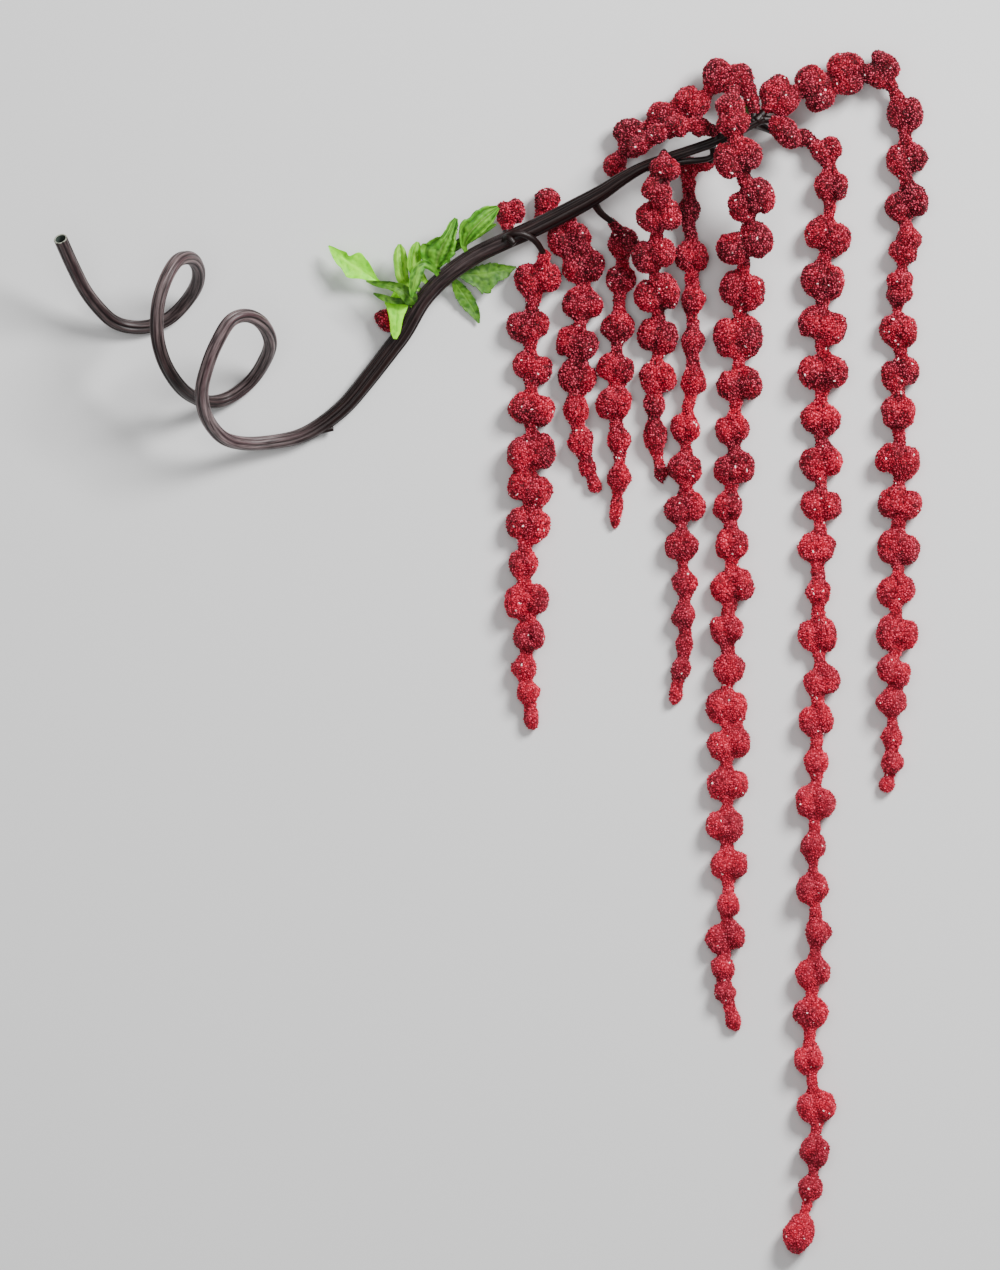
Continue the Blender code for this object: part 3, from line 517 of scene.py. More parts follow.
def new_material(name, roughness, specular=0.5):
    """A material with a plain shader, and the tree and shader to build on."""
    material = bpy.data.materials.new(name)
    material.use_nodes = True
    tree = material.node_tree
    shader = tree.nodes["Principled BSDF"]
    shader.inputs["Roughness"].default_value = roughness
    shader.inputs["Specular IOR Level"].default_value = specular
    return material, tree, shader


def painted(tree, ground, coats):
    """Coats of colour over a ground. A coat is (value, low, high, most, colour): it shows the
    more the further its value has come from low to high, and at high it shows the most."""
    colour = hex_colour(ground) if isinstance(ground, str) else ground
    for value, low, high, most, coat in coats:
        share = node(tree, "ShaderNodeMapRange", {
            "Value": value, "From Min": low, "From Max": high, "To Max": most,
        })
        mixed = node(tree, "ShaderNodeMix", {
            "Factor": share.outputs["Result"],
            COLOUR_A: colour,
            COLOUR_B: hex_colour(coat) if isinstance(coat, str) else coat,
        }, data_type="RGBA")
        colour = mixed.outputs[COLOUR_OUT]
    return colour


def cover(tree, shader, colour, relief, strength, depth):
    """Gives a shader its colour and a fine relief of this depth in metres."""
    bump = node(tree, "ShaderNodeBump", {
        "Height": relief, "Strength": strength, "Distance": depth,
    })
    tree.links.new(colour, shader.inputs["Base Color"])
    tree.links.new(bump.outputs["Normal"], shader.inputs["Normal"])


def floret_material():
    """Dried amaranth florets: papery crimson grains with painted shade in the gaps and a rare
    painted glint.
    """
    material, tree, shader = new_material("dried_amaranth_florets", roughness=0.6, specular=0.2)
    place = node(tree, "ShaderNodeTexCoord").outputs["Object"]
    along = node(tree, "ShaderNodeSeparateXYZ", {"Vector": place}).outputs["Y"]
    grain_shade_and_glint = node(tree, "ShaderNodeAttribute", attribute_name="grain_shade_and_glint").outputs["Fac"]
    crease = node(tree, "ShaderNodeAttribute", attribute_name="crease").outputs["Fac"]
    # Patches about 16 mm wide where the flower's own dye is deeper
    patch = node(tree, "ShaderNodeTexNoise", {
        "Vector": place, "Scale": 62.0, "Detail": 2.0, "Roughness": 0.5,
    }).outputs["Fac"]
    crimson = painted(tree, "#7c0018", [(patch, 0.38, 0.64, 1.0, "#cc062e")])
    # Painted shade in the gaps rises to crimson florets, with more painted shade towards the fork.
    # Tips are pale, partly as painted light, a few carry a painted glint, creases get painted
    # shade, and painted light brightens the far ends of the strands.
    colour = painted(tree, "#280005", [
        (grain_shade_and_glint, 0.04, 0.28, 1.0, crimson),
        (along, 0.11, 0.22, 0.4, "#200004"),
        (grain_shade_and_glint, 0.28, 0.8, 1.0, "#ff607e"),
        (grain_shade_and_glint, 1.1, 1.5, 1.0, "#fff8f2"),
        (crease, 0.0, 1.0, 1.0, "#1c0103"),
        (along, 0.11, -0.06, 0.15, "#f83c58"),
    ])
    # Flecks about 0.5 mm wide inside each floret
    fleck = node(tree, "ShaderNodeTexNoise", {
        "Vector": place, "Scale": 1900.0, "Detail": 2.0, "Roughness": 0.6,
    }).outputs["Fac"]
    cover(tree, shader, colour, fleck, strength=0.5, depth=0.2 * MM)
    return material


def stalk_material():
    """Dried amaranth stalk: waxy and ribbed, plum-grey in the curls and near black above."""
    material, tree, shader = new_material("dried_amaranth_stalk", roughness=0.38, specular=0.28)
    grown = node(tree, "ShaderNodeAttribute", attribute_name="grown").outputs["Vector"]
    groove = node(tree, "ShaderNodeAttribute", attribute_name="groove").outputs["Fac"]
    tone = node(tree, "ShaderNodeAttribute", attribute_name="tone").outputs["Fac"]
    # Fibre streaks about 0.6 mm wide and many times as long.
    # Their light coats are partly the fibres' colour and partly painted highlight for the stalk's
    # sheen.
    streak = node(tree, "ShaderNodeTexNoise", {
        "Vector": grown, "Scale": 1.3, "Detail": 5.0, "Roughness": 0.62,
    }).outputs["Fac"]
    # Stretches about 30 mm long where the skin is a deep plum
    plum = node(tree, "ShaderNodeTexNoise", {
        "Vector": grown, "Scale": 0.42, "Detail": 1.0,
    }).outputs["Fac"]
    curl = painted(tree, "#2a1e20", [(streak, 0.36, 0.68, 1.0, "#8a7878")])
    upper = painted(tree, "#0a0303", [(streak, 0.36, 0.68, 1.0, "#241210")])
    colour = painted(tree, curl, [
        (plum, 0.5, 0.7, 0.6, "#37141f"),
        (tone, 0.0, 1.0, 1.0, upper),
        # Painted shade darkens the grooves to near black
        (groove, 0.0, 1.0, 1.0, "#0a0506"),
    ])
    cover(tree, shader, colour, streak, strength=0.35, depth=0.4 * MM)
    return material


def pith_material():
    """Cut pith at the stalk's end: pale, dry and slightly fibrous."""
    material, tree, shader = new_material("cut_amaranth_pith", roughness=0.8)
    place = node(tree, "ShaderNodeTexCoord").outputs["Object"]
    # Fibres about 0.4 mm wide
    fibre = node(tree, "ShaderNodeTexNoise", {"Vector": place, "Scale": 2400.0}).outputs["Fac"]
    colour = painted(tree, "#686a5e", [(fibre, 0.0, 1.0, 1.0, "#b2b5a4")])
    tree.links.new(colour, shader.inputs["Base Color"])
    return material


def bore_shade_material():
    """The inside of the hollow stalk, painted dull dark green-grey as shade."""
    material, tree, shader = new_material("painted_shade_amaranth_bore", roughness=0.9)
    place = node(tree, "ShaderNodeTexCoord").outputs["Object"]
    # Mottling about 1 mm wide
    mottle = node(tree, "ShaderNodeTexNoise", {"Vector": place, "Scale": 1000.0}).outputs["Fac"]
    colour = painted(tree, "#0b100d", [(mottle, 0.0, 1.0, 1.0, "#2c3a31")])
    tree.links.new(colour, shader.inputs["Base Color"])
    return material


def leaf_material(name, shade, light, vein_colour, fold_shade_colour):
    """A living amaranth leaf: soft waxy green, blotched, with paler veins and painted shade in its
    folds.
    """
    material, tree, shader = new_material(name, roughness=0.5, specular=0.25)
    place = node(tree, "ShaderNodeTexCoord").outputs["Object"]
    vein = node(tree, "ShaderNodeAttribute", attribute_name="vein").outputs["Fac"]
    fold_shade = node(tree, "ShaderNodeAttribute", attribute_name="fold_shade").outputs["Fac"]
    # Blotches about 5 mm wide
    blotch = node(tree, "ShaderNodeTexNoise", {
        "Vector": place, "Scale": 200.0, "Detail": 4.0, "Roughness": 0.55,
    }).outputs["Fac"]
    colour = painted(tree, shade, [
        (blotch, 0.36, 0.66, 1.0, light),
        # Painted shade in the folds
        (fold_shade, 0.55, 1.0, 0.75, fold_shade_colour),
        (vein, 0.0, 1.0, 0.45, vein_colour),
    ])
    # Leaf cells about 0.3 mm wide
    cell = node(tree, "ShaderNodeTexVoronoi", {
        "Vector": place, "Scale": 3300.0,
    }).outputs["Distance"]
    cover(tree, shader, colour, cell, strength=0.2, depth=0.1 * MM)
    return material


def smooth_route(points, step):
    """Points at even steps along a smooth curve through the given ones."""
    knots = [Vector(point) for point in points]
    ends = [knots[0] * 2 - knots[1]] + knots + [knots[-1] * 2 - knots[-2]]
    fine = [knots[0]]
    for before, start, end, after in zip(ends, ends[1:], ends[2:], ends[3:]):
        for piece in range(1, ROUTE_PIECES + 1):
            t = piece / ROUTE_PIECES
            slow = start * 2 + (end - before) * t
            bend = (before * 2 - start * 5 + end * 4 - after) * t ** 2
            twist = (start * 3 - before - end * 3 + after) * t ** 3
            fine.append((slow + bend + twist) / 2)
    lengths = [0.0]
    for start, end in zip(fine, fine[1:]):
        lengths.append(lengths[-1] + (end - start).length)
    count = max(1, round(lengths[-1] / step))
    even = []
    at = 0
    for number in range(count + 1):
        goal = lengths[-1] * number / count
        while at < len(fine) - 2 and lengths[at + 1] < goal:
            at += 1
        share = (goal - lengths[at]) / max(1e-9, lengths[at + 1] - lengths[at])
        even.append(fine[at].lerp(fine[at + 1], share))
    return even


def route_headings(points):
    """The unit direction of a route at each of its points."""
    last = len(points) - 1
    return [
        (points[min(i + 1, last)] - points[max(i - 1, 0)]).normalized()
        for i in range(last + 1)
    ]


def level_side(heading, previous):
    """The sideways direction at a heading, level where it can be and never flipping."""
    side = heading.cross(Vector((0, 0, 1)))
    if side.length < LEVEL_LEAST:
        side = previous - heading * previous.dot(heading)
    side.normalize()
    return side if previous.dot(side) >= 0 else -side


def between(share, start, end):
    """How far a share has come from start to end, from 0 to 1, eased at both."""
    t = min(1.0, max(0.0, (share - start) / (end - start)))
    return t * t * (3 - 2 * t)


def curve_through(values, share):
    """The value at a share of the way along evenly spaced values, on a smooth curve."""
    at = share * (len(values) - 1)
    i = min(int(at), len(values) - 2)
    t = at - i
    a, b = values[max(i - 1, 0)], values[i]
    c, d = values[i + 1], values[min(i + 2, len(values) - 1)]
    return b + 0.5 * t * (c - a + t * (2 * a - 5 * b + 4 * c - d + t * (3 * (b - c) + d - a)))


def finish_piece(bm, name, cad_node, materials, smooth=True):
    """Lays the mesh on the surface in metres and puts it in the place of its solid."""
    for vertex in bm.verts:
        vertex.co.z = max(vertex.co.z, LIE_CLEAR)
    bmesh.ops.translate(bm, verts=bm.verts, vec=(-CENTRE_X, -CENTRE_Y, 0.0))
    bmesh.ops.scale(bm, verts=bm.verts, vec=(MM, MM, MM))
    mesh = bpy.data.meshes.new(name)
    bm.to_mesh(mesh)
    bm.free()
    if smooth:
        mesh.shade_smooth()
    for material in materials:
        mesh.materials.append(material)
    piece = bpy.data.objects.new(name, mesh)
    bpy.context.scene.collection.objects.link(piece)
    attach(piece, "root")
    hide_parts(cad_node)


def bead_depth(bead):
    """How deep a bead is from top to bottom: the wide ones lie flat."""
    wide = bead[2]
    return min(max(BEAD_DEPTH_SUM - wide, BEAD_DEPTH_LEAST * wide), BEAD_DEPTH_MOST * wide)


def bead_tall(bead):
    """A bead's length along its strand."""
    return bead[3] if len(bead) > 3 else BEAD_TALL_SHARE * bead[2] + BEAD_TALL_BASE


def bead_centre(bead):
    """A bead's middle, which lies on the surface unless its height is given."""
    lying = bead_depth(bead) / 2 - BEAD_REST_SINK
    height = bead[4] if len(bead) > 4 else lying
    return Vector((bead[0], bead[1], height))


def add_lobe(lobes, centre, axes, half):
    """One rounded lobe: a ball stretched to its half sizes along three axes."""
    turn = Matrix(axes).transposed().to_4x4()
    shape = Matrix.Translation(centre) @ turn @ Matrix.Diagonal((*half, 1.0))
    bmesh.ops.create_icosphere(lobes, subdivisions=2, radius=1.0, matrix=shape)


def add_single(lobes, centre, axes, half, draw):
    """A small cluster: one lobe with a bulge at its side."""
    side, heading, _ = axes
    half_wide, half_tall, half_deep = half
    small = draw.uniform(SINGLE_LEAST, 1.0)
    add_lobe(lobes, centre, axes, (half_wide * small, half_tall, half_deep))
    bulge = side * draw.choice((-1, 1)) * half_wide * BULGE_OUT
    bulge += heading * draw.uniform(-BULGE_ALONG, BULGE_ALONG) * half_tall
    wide_share, tall_share, deep_share = BULGE_SIZE
    size = (half_wide * wide_share, half_tall * tall_share, half_deep * deep_share)
    add_lobe(lobes, centre + bulge, axes, size)


def add_pair(lobes, centre, axes, half, draw):
    """A wide cluster: two lobes askew, at times with a third on top."""
    side, heading, up = axes
    half_wide, half_tall, half_deep = half
    in_line = half_tall > half_wide
    long_half, short_half = max(half_tall, half_wide), min(half_tall, half_wide)
    turn = draw.uniform(-LOBE_TURN, LOBE_TURN) + (math.pi / 2 if in_line else 0.0)
    pair = side * math.cos(turn) + heading * math.sin(turn)
    across = heading * math.cos(turn) - side * math.sin(turn)
    first = draw.uniform(LOBE_LEAST, LOBE_MOST)
    for sign, share in ((-1, first), (1, LOBE_SUM - first)):
        size = Vector((
            long_half * share,
            short_half * draw.uniform(*LOBE_SHORT),
            half_deep * draw.uniform(*LOBE_DEEP),
        ))
        shift = pair * sign * (long_half - size.x)
        shift += across * draw.uniform(-LOBE_ASKEW, LOBE_ASKEW) * short_half
        shift += up * draw.uniform(-LOBE_ASKEW, LOBE_ASKEW) * half_deep
        add_lobe(lobes, centre + shift, (pair, across, up), size)
    if half_wide * 2 >= THIRD_FROM and draw.random() < THIRD_SHARE:
        spot = up * half_deep * THIRD_UP
        spot += pair * draw.uniform(-THIRD_STRAY, THIRD_STRAY) * long_half
        spot += across * draw.choice((-THIRD_OUT, THIRD_OUT)) * short_half
        size = draw.uniform(*THIRD_SIZE) * short_half
        add_lobe(lobes, centre + spot, (pair, across, up), (size * THIRD_LONG, size, size))


def add_bead(lobes, bead, heading, side, draw):
    """A cluster of one lobe or a pair, with small knobs on it."""
    centre = bead_centre(bead)
    wide = bead[2]
    up = side.cross(heading)
    axes = (side, heading, up)
    half = (wide / 2, bead_tall(bead) / 2, bead_depth(bead) / 2)
    half_wide, half_tall, half_deep = half
    single = wide < SINGLE_TO and draw.random() < SINGLE_SHARE
    build = add_single if single or wide < LOBED_FROM else add_pair
    build(lobes, centre, axes, half, draw)
    for _ in range(KNOBS):
        angle = draw.uniform(0, 2 * math.pi)
        along = draw.uniform(-KNOB_ALONG, KNOB_ALONG)
        reach = math.sqrt(1 - along ** 2) * KNOB_REACH
        spot = side * math.cos(angle) * half_wide * reach
        spot += up * math.sin(angle) * half_deep * reach + heading * along * half_tall * KNOB_REACH
        knob = draw.uniform(*KNOB_SIZE) * min(half_wide, half_tall)
        add_lobe(lobes, centre + spot, axes, (knob, knob, knob))


def add_cord(lobes, start, end, radius, draw):
    """The short floret-covered cord between two beads, as a chain of small balls."""
    steps = max(1, round((end - start).length / CORD_STEP))
    for number in range(steps + 1):
        size = radius * draw.uniform(*CORD_UNEVEN)
        stray = Vector([draw.uniform(-CORD_STRAY, CORD_STRAY) for _ in range(3)])
        spot = Matrix.Translation(start.lerp(end, number / steps) + stray)
        bmesh.ops.create_icosphere(lobes, subdivisions=1, radius=size, matrix=spot)


def closed_skin(lobes):
    """One closed skin round overlapping lobes, its faces about one floret wide."""
    lobes.transform(SKIN_TURN)
    mesh = bpy.data.meshes.new("lobes")
    lobes.to_mesh(mesh)
    lobes.free()
    holder = bpy.data.objects.new("lobes", mesh)
    bpy.context.scene.collection.objects.link(holder)
    remesh = holder.modifiers.new("skin", "REMESH")
    remesh.mode = "VOXEL"
    remesh.voxel_size = FLORET_PITCH
    skin = bmesh.new()
    skin.from_object(holder, bpy.context.evaluated_depsgraph_get())
    bpy.data.objects.remove(holder)
    bpy.data.meshes.remove(mesh)
    skin.transform(SKIN_TURN.inverted())
    return skin


def smooth_skin(skin, rounds):
    """Smooths a skin evenly on all axes."""
    for _ in range(rounds):
        bmesh.ops.smooth_vert(
            skin, verts=skin.verts, factor=0.5, use_axis_x=True, use_axis_y=True, use_axis_z=True
        )


def swell_lumps(skin):
    """Swells the skin into soft lumps with creases between them."""
    skin.normal_update()
    for vertex in skin.verts:
        nearest = noise.voronoi(vertex.co / LUMP_WIDE)[0][0]
        vertex.co += vertex.normal * LUMP_RISE * (LUMP_MIDDLE - nearest)


def crease_tones(skin):
    """How deep each vertex lies in a crease, from how far smoothing would lift it."""
    skin.normal_update()
    places = [vertex.co.copy() for vertex in skin.verts]
    smooth_skin(skin, CREASE_SMOOTHS)
    tones = []
    for vertex, place in zip(skin.verts, places):
        lifted = (vertex.co - place).dot(vertex.normal)
        tones.append(min(1.0, max(0.0, lifted / CREASE_FULL)))
        vertex.co = place
    return tones


def break_rows(skin, draw):
    """Turns some of the skin's edges, so that its even rows of faces break up."""
    edges = [edge for edge in skin.edges if draw.random() < TURNED_SHARE]
    bmesh.ops.rotate_edges(skin, edges=edges, use_ccw=False)
    smooth_skin(skin, 1)


def raise_florets(skin, draw):
    """Raises each face of the skin to one pointed floret with a gap round it."""
    grain_shade_and_glint = skin.verts.layers.float.new("grain_shade_and_glint")
    crease = skin.verts.layers.float.new("crease")
    for vertex, tone in zip(skin.verts, crease_tones(skin)):
        shift = Vector([draw.uniform(-FLORET_JITTER, FLORET_JITTER) for _ in range(3)])
        vertex.co += shift - vertex.normal * shift.dot(vertex.normal)
        # The skin's corners get low tones: painted shade in the gaps between florets
        vertex[grain_shade_and_glint] = draw.uniform(0.0, GAP_SHADE_TONE)
        vertex[crease] = tone
    tips = bmesh.ops.poke(skin, faces=skin.faces[:])["verts"]
    skin.normal_update()
    for tip in tips:
        # Tips get pale tones of random depth, partly painted light, and a few get a painted glint
        glint = draw.random() < GLINT_SHARE
        tip[grain_shade_and_glint] = GLINT_TONE if glint else draw.uniform(*TIP_TONES)
        corners = [edge.other_vert(tip) for edge in tip.link_edges]
        tip[crease] = 0.0 if glint else sum(corner[crease] for corner in corners) / len(corners)
        lean = Vector([draw.uniform(-FLORET_LEAN, FLORET_LEAN) for _ in range(3)])
        tip.co += tip.normal * FLORET_RISE * draw.uniform(*FLORET_UNEVEN) + lean


def make_strand(name, bare, beads, material):
    """A strand of clusters with every floret on it, from its root to its tip."""
    draw = random.Random(name)
    lobes = bmesh.new()
    before = Vector(bare[-1])
    side = Vector((1, 0, 0))
    for number, bead in enumerate(beads):
        here = bead_centre(bead)
        to_here = (here - before).normalized()
        after = bead_centre(beads[number + 1]) if number + 1 < len(beads) else here + to_here
        heading = (to_here + (after - here).normalized()).normalized()
        side = level_side(heading, side)
        add_bead(lobes, bead, heading, side, draw)
        radius = CORD_RADIUS + (CORD_END_RADIUS - CORD_RADIUS) * number / len(beads)
        add_cord(lobes, before, here, radius, draw)
        before = here
    skin = closed_skin(lobes)
    smooth_skin(skin, 1)
    swell_lumps(skin)
    break_rows(skin, draw)
    raise_florets(skin, draw)
    finish_piece(skin, f"{name}_florets", name, [material], smooth=False)


def rolled_tube(centres, radius_at, sides, tone_at):
    """A grid rolled up into a tube along centres, with what its finish needs."""
    bm = bmesh.new()
    grown = bm.verts.layers.float_vector.new("grown")
    groove = bm.verts.layers.float.new("groove")
    tone = bm.verts.layers.float.new("tone")
    last = len(centres) - 1
    bmesh.ops.create_grid(bm, x_segments=sides, y_segments=last, size=1.0)
    side = Vector((0, 0, 1)).cross(centres[1] - centres[0]).normalized()
    frames = []
    along = 0.0
    for number, heading in enumerate(route_headings(centres)):
        side = (side - heading * side.dot(heading)).normalized()
        along += (centres[number] - centres[max(number - 1, 0)]).length
        frames.append((centres[number], side, heading.cross(side), along))
    for vertex in bm.verts:
        angle = math.pi * (vertex.co.x + 1)
        row = round((vertex.co.y + 1) / 2 * last)
        centre, side, up, along = frames[row]
        radius, depth = radius_at(row / last, angle, along)
        out = side * math.cos(angle) + up * math.sin(angle)
        vertex[grown] = (
            math.cos(angle) * COIL_RADIUS, math.sin(angle) * COIL_RADIUS, along * STREAK_STRETCH
        )
        vertex[groove] = depth
        vertex[tone] = tone_at(row / last)
        vertex.co = centre + out * radius
    bmesh.ops.remove_doubles(bm, verts=bm.verts, dist=WELD)
    return bm


def stem_radius(share):
    """The stem's radius at a share of its route."""
    thick = between(share, THICK_FROM, THICK_TO)
    thin = between(share, THIN_FROM, THIN_TO)
    radius = COIL_RADIUS + (UPPER_RADIUS - COIL_RADIUS) * thick
    return radius + (FORK_RADIUS - UPPER_RADIUS) * thin


def stem_tone(share):
    """How dark the stem is at a share of its route."""
    return min(1.0, max(0.0, curve_through(STEM_TONES, share)))


def ribbed_radius(share, angle, along):
    """The ribbed stem's radius at a place on its skin, and how deep in a groove that is, which
    sets the groove's painted shade.
    """
    turned = angle + along * RIB_TWIST
    turned += RIB_SWAY * noise.noise(Vector((along / RIB_SWAY_LENGTH, 0, SWAY_ROW)))
    turned += RIB_UNEVEN * math.sin(2 * angle + RIB_PHASE)
    at = RIB_COUNT * turned / (2 * math.pi)
    number = round(at)
    off = at - number
    edge = number + (0.5 if off > 0 else -0.5)
    change = noise.noise(Vector((edge % RIB_COUNT * GROOVE_APART, along / GROOVE_LENGTH, 0)))
    deep = GROOVE_EVEN + GROOVE_CHANGE * change
    groove = math.exp(-((0.5 - abs(off)) / GROOVE_WIDE) ** 2) * deep
    swell = 1 + SWELL * noise.noise(Vector((along / SWELL_LENGTH, SWELL_ROW, 0)))
    swell -= RIB_ROUND * (2 * off) ** 2
    return stem_radius(share) * (swell - GROOVE_DEPTH * groove), min(1.0, groove)


def twig_radius(share, angle, along):
    """A twig's radius, flared at its root, then even, and how deep in a groove a place is."""
    flare = TWIG_FLARE * math.exp(-along / TWIG_FLARE_LENGTH)
    even = TWIG_ROOT_RADIUS + (TWIG_END_RADIUS - TWIG_ROOT_RADIUS) * share
    groove = 1 - math.sqrt(abs(math.cos(TWIG_RIBS * angle / 2)))
    return (even + flare) * (1 - TWIG_GROOVE * groove), TWIG_GROOVE_TONE * groove


def close_ends(bm):
    """Fills the open ends of a tube and turns its faces outwards."""
    open_edges = [edge for edge in bm.edges if edge.is_boundary]
    bmesh.ops.holes_fill(bm, edges=open_edges, sides=0)
    bmesh.ops.recalc_face_normals(bm, faces=bm.faces)


def open_bore(bm, centres):
    """Rounds the cut rim and sinks the bore into the stem's first end."""
    start = centres[0]
    inward = (centres[1] - start).normalized()
    edges = [
        edge for edge in bm.edges
        if edge.is_boundary and (edge.verts[0].co - start).length < COIL_RADIUS * 2
    ]
    for radius, depth, finish in (
        (RIM_RADIUS, -RIM_RISE, PITH_SLOT), (BORE_RADIUS, 0.0, PITH_SLOT),
        (BORE_RADIUS, BORE_DEPTH, BORE_SLOT),
    ):
        made = bmesh.ops.extrude_edge_only(bm, edges=edges)["geom"]
        ring = [item for item in made if isinstance(item, bmesh.types.BMVert)]
        for vertex in ring:
            out = vertex.co - start
            out -= inward * out.dot(inward)
            vertex.co = start + out.normalized() * radius + inward * depth
        for item in made:
            if isinstance(item, bmesh.types.BMFace):
                item.material_index = finish
        edges = [
            item for item in made
            if isinstance(item, bmesh.types.BMEdge) and item.is_boundary
        ]
    for face in bmesh.ops.holes_fill(bm, edges=edges, sides=0)["faces"]:
        face.material_index = BORE_SLOT


def join_into(target, part):
    """Moves one bmesh's geometry into another."""
    mesh = bpy.data.meshes.new("part")
    part.to_mesh(mesh)
    part.free()
    target.from_mesh(mesh)
    bpy.data.meshes.remove(mesh)


def make_stem(materials):
    """The hollow ribbed stem with its twigs, side shoots and nubs."""
    centres = smooth_route(STEM_ROUTE, STALK_STEP)
    stem = rolled_tube(centres, ribbed_radius, STALK_SIDES, stem_tone)
    open_bore(stem, centres)
    close_ends(stem)
    routes = [
        (*bare, Vector(bare[-1]).lerp(bead_centre(beads[0]), TWIG_INTO_BEAD))
        for bare, beads in STRANDS.values()
    ]
    for route in [*routes, *SHOOTS]:
        twig = rolled_tube(smooth_route(route, TWIG_STEP), twig_radius, TWIG_SIDES, lambda _: 1.0)
        close_ends(twig)
        join_into(stem, twig)
    finish_piece(stem, "stem_stalk", "stem", materials)


def vein_at(across, along):
    """How much a vein shows at a place on a blade: the midrib and slanted side veins."""
    midrib = math.exp(-(across / MIDRIB_WIDE) ** 2)
    slant = (along * SIDE_VEINS - abs(across) * VEIN_SLANT) % 1.0
    side = math.exp(-((slant - 0.5) / VEIN_WIDE) ** 2) * (1 - abs(across) ** 2)
    started = between(along, *VEINS_START)
    return min(1.0, midrib * (1 - MIDRIB_FADE * along) + SIDE_VEIN_SHARE * side * started)


def leaf_midrib(place, points):
    """Points along a leaf's midrib, from just under the stem's skin to the tip."""
    line = smooth_route(STEM_ROUTE, STALK_STEP)
    near = min(
        range(len(line)),
        key=lambda i: (line[i].x - place[0]) ** 2 + (line[i].y - place[1]) ** 2,
    )
    toward = (Vector(points[0]) - line[near]).normalized()
    base = line[near] + toward * (stem_radius(near / (len(line) - 1)) - LEAF_SINK)
    return smooth_route((base, *points), LEAF_STEP)


def make_leaf(name, material, place, points, left, right, wave, cup):
    """A thin blade with veins, teeth and folds, its stalk's end in the stem's side."""
    teeth, tooth_deep, folds, fold_deep = LEAF_EDGES[name]
    midrib = leaf_midrib(place, points)
    headings = route_headings(midrib)
    bm = bmesh.new()
    vein = bm.verts.layers.float.new("vein")
    fold_shade = bm.verts.layers.float.new("fold_shade")
    bmesh.ops.create_grid(bm, x_segments=LEAF_COLUMNS, y_segments=LEAF_ROWS, size=1.0)
    seed = random.Random(name).uniform(0, 100)
    for vertex in bm.verts:
        across = vertex.co.x
        along = (vertex.co.y + 1) / 2
        at = along * (len(midrib) - 1)
        low = min(int(at), len(midrib) - 2)
        spine = midrib[low].lerp(midrib[low + 1], at - low)
        heading = headings[low].lerp(headings[low + 1], at - low)
        side = heading.cross(Vector((0, 0, 1))).normalized()
        half = max(HALF_LEAST, curve_through(left if across < 0 else right, along))
        full = min(1.0, half / HALF_FULL)
        tooth = (along * teeth + (0.5 if across < 0 else 0.0)) % 1.0
        half *= 1 + tooth_deep * full * (tooth - TOOTH_MIDDLE) * between(along, *TEETH_START)
        shown = vein_at(across, along)
        fold = fold_deep * math.cos(folds * math.pi * across + seed)
        fold *= between(along, *FOLDS_START)
        spot = Vector((
            across * half / RUFFLE_ACROSS, along * len(midrib) * LEAF_STEP / RUFFLE_ALONG, seed
        ))
        ruffle = noise.noise(spot) * abs(across) ** RUFFLE_EDGE * wave * RUFFLE
        small_wave = noise.noise(spot * PUCKER_FINER)
        pucker = small_wave * wave * PUCKER
        rise = (cup * across ** 2 + ruffle + pucker + fold - VEIN_SINK * shown) * full
        vertex[vein] = shown * full
        # Painted shade in the hollows of the folds and in small dents
        vertex[fold_shade] = min(1.0, max(0.0, 0.5 - fold * FOLD_SHADE - small_wave))
        vertex.co = spine + side * across * half + Vector((0, 0, rise))
    bmesh.ops.solidify(bm, geom=bm.faces[:], thickness=LEAF_THICK)
    bmesh.ops.recalc_face_normals(bm, faces=bm.faces)
    finish_piece(bm, f"{name}_blade", name, [material])


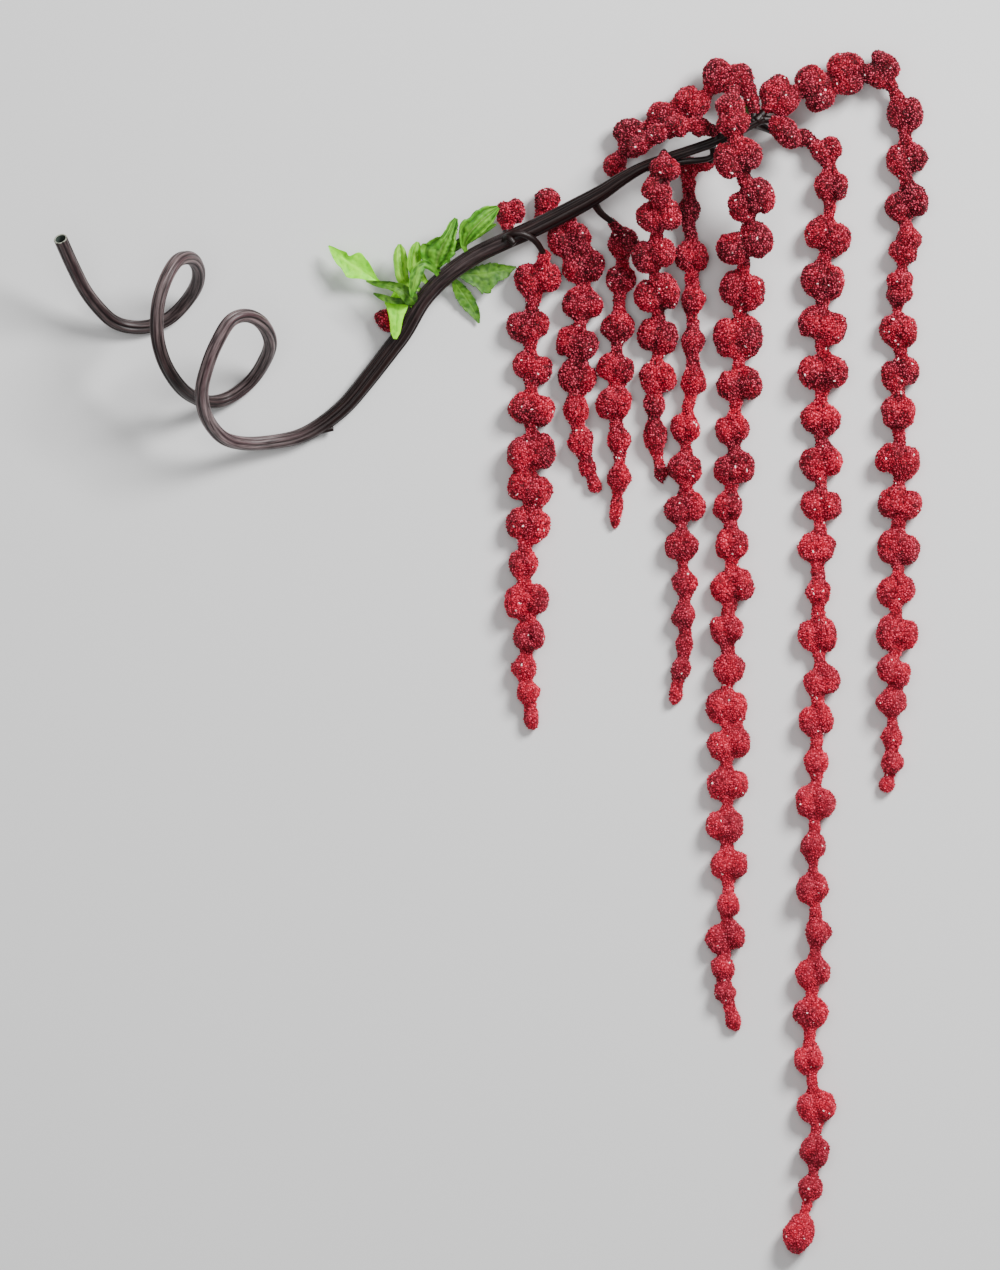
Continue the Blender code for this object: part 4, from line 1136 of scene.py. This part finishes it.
def area_light(name, place, wide, power):
    """A large soft light at a place, turned to the origin."""
    data = bpy.data.lights.new(name, "AREA")
    data.shape = "SQUARE"
    data.size = wide
    data.energy = power
    light = bpy.data.objects.new(name, data)
    light.location = place
    light.rotation_euler = (-Vector(place)).to_track_quat("-Z", "Y").to_euler()
    bpy.context.scene.collection.objects.link(light)


def set_stage():
    """A plain pale floor, soft light and the camera straight above."""
    material, _, shader = new_material("matt_pale_floor", roughness=0.95, specular=0.0)
    shader.inputs["Base Color"].default_value = hex_colour(FLOOR_COLOUR)
    bm = bmesh.new()
    bmesh.ops.create_grid(bm, x_segments=1, y_segments=1, size=FLOOR_HALF)
    mesh = bpy.data.meshes.new("floor")
    bm.to_mesh(mesh)
    bm.free()
    mesh.materials.append(material)
    floor = bpy.data.objects.new("floor", mesh)
    bpy.context.scene.collection.objects.link(floor)
    for name, light in LIGHTS.items():
        area_light(name, *light)
    world = bpy.data.worlds.new("pale_room")
    world.use_nodes = True
    sky = world.node_tree.nodes["Background"]
    sky.inputs["Strength"].default_value = WORLD_STRENGTH
    sky.inputs["Color"].default_value = (1, 1, 1, 1)
    bpy.context.scene.world = world
    data = bpy.data.cameras.new("camera")
    data.lens = CAMERA_LENS
    data.sensor_width = CAMERA_SENSOR
    camera = bpy.data.objects.new("camera", data)
    camera.location = CAMERA_PLACE
    bpy.context.scene.collection.objects.link(camera)
    bpy.context.scene.camera = camera


def main():
    """Dresses every solid of the plant and sets the stage."""
    set_stage()
    make_stem([stalk_material(), pith_material(), bore_shade_material()])
    florets = floret_material()
    for name, (bare, beads) in STRANDS.items():
        make_strand(name, bare, beads, florets)
    # Each green's darker and lighter blotch colours, veins, and painted shade for its folds. The
    # brightest green is a copy painted as lit, and the darkest one a copy painted as in shade.
    greens = {
        "bright": leaf_material(
            "painted_lit_amaranth_leaf", "#84e800", "#9cf818", "#aaff30", "#66c600"
        ),
        "pale": leaf_material("pale_amaranth_leaf", "#69ae18", "#94ce38", "#b2de60", "#4a8c10"),
        "mid": leaf_material("green_amaranth_leaf", "#44881c", "#70ac30", "#98c458", "#224e10"),
        "dark": leaf_material("painted_shade_amaranth_leaf", "#356614", "#5c8e24", "#74a63c", "#1f440c"),
    }
    for name, (green, place, *blade) in LEAVES.items():
        make_leaf(name, greens[green], place, *blade)


main()
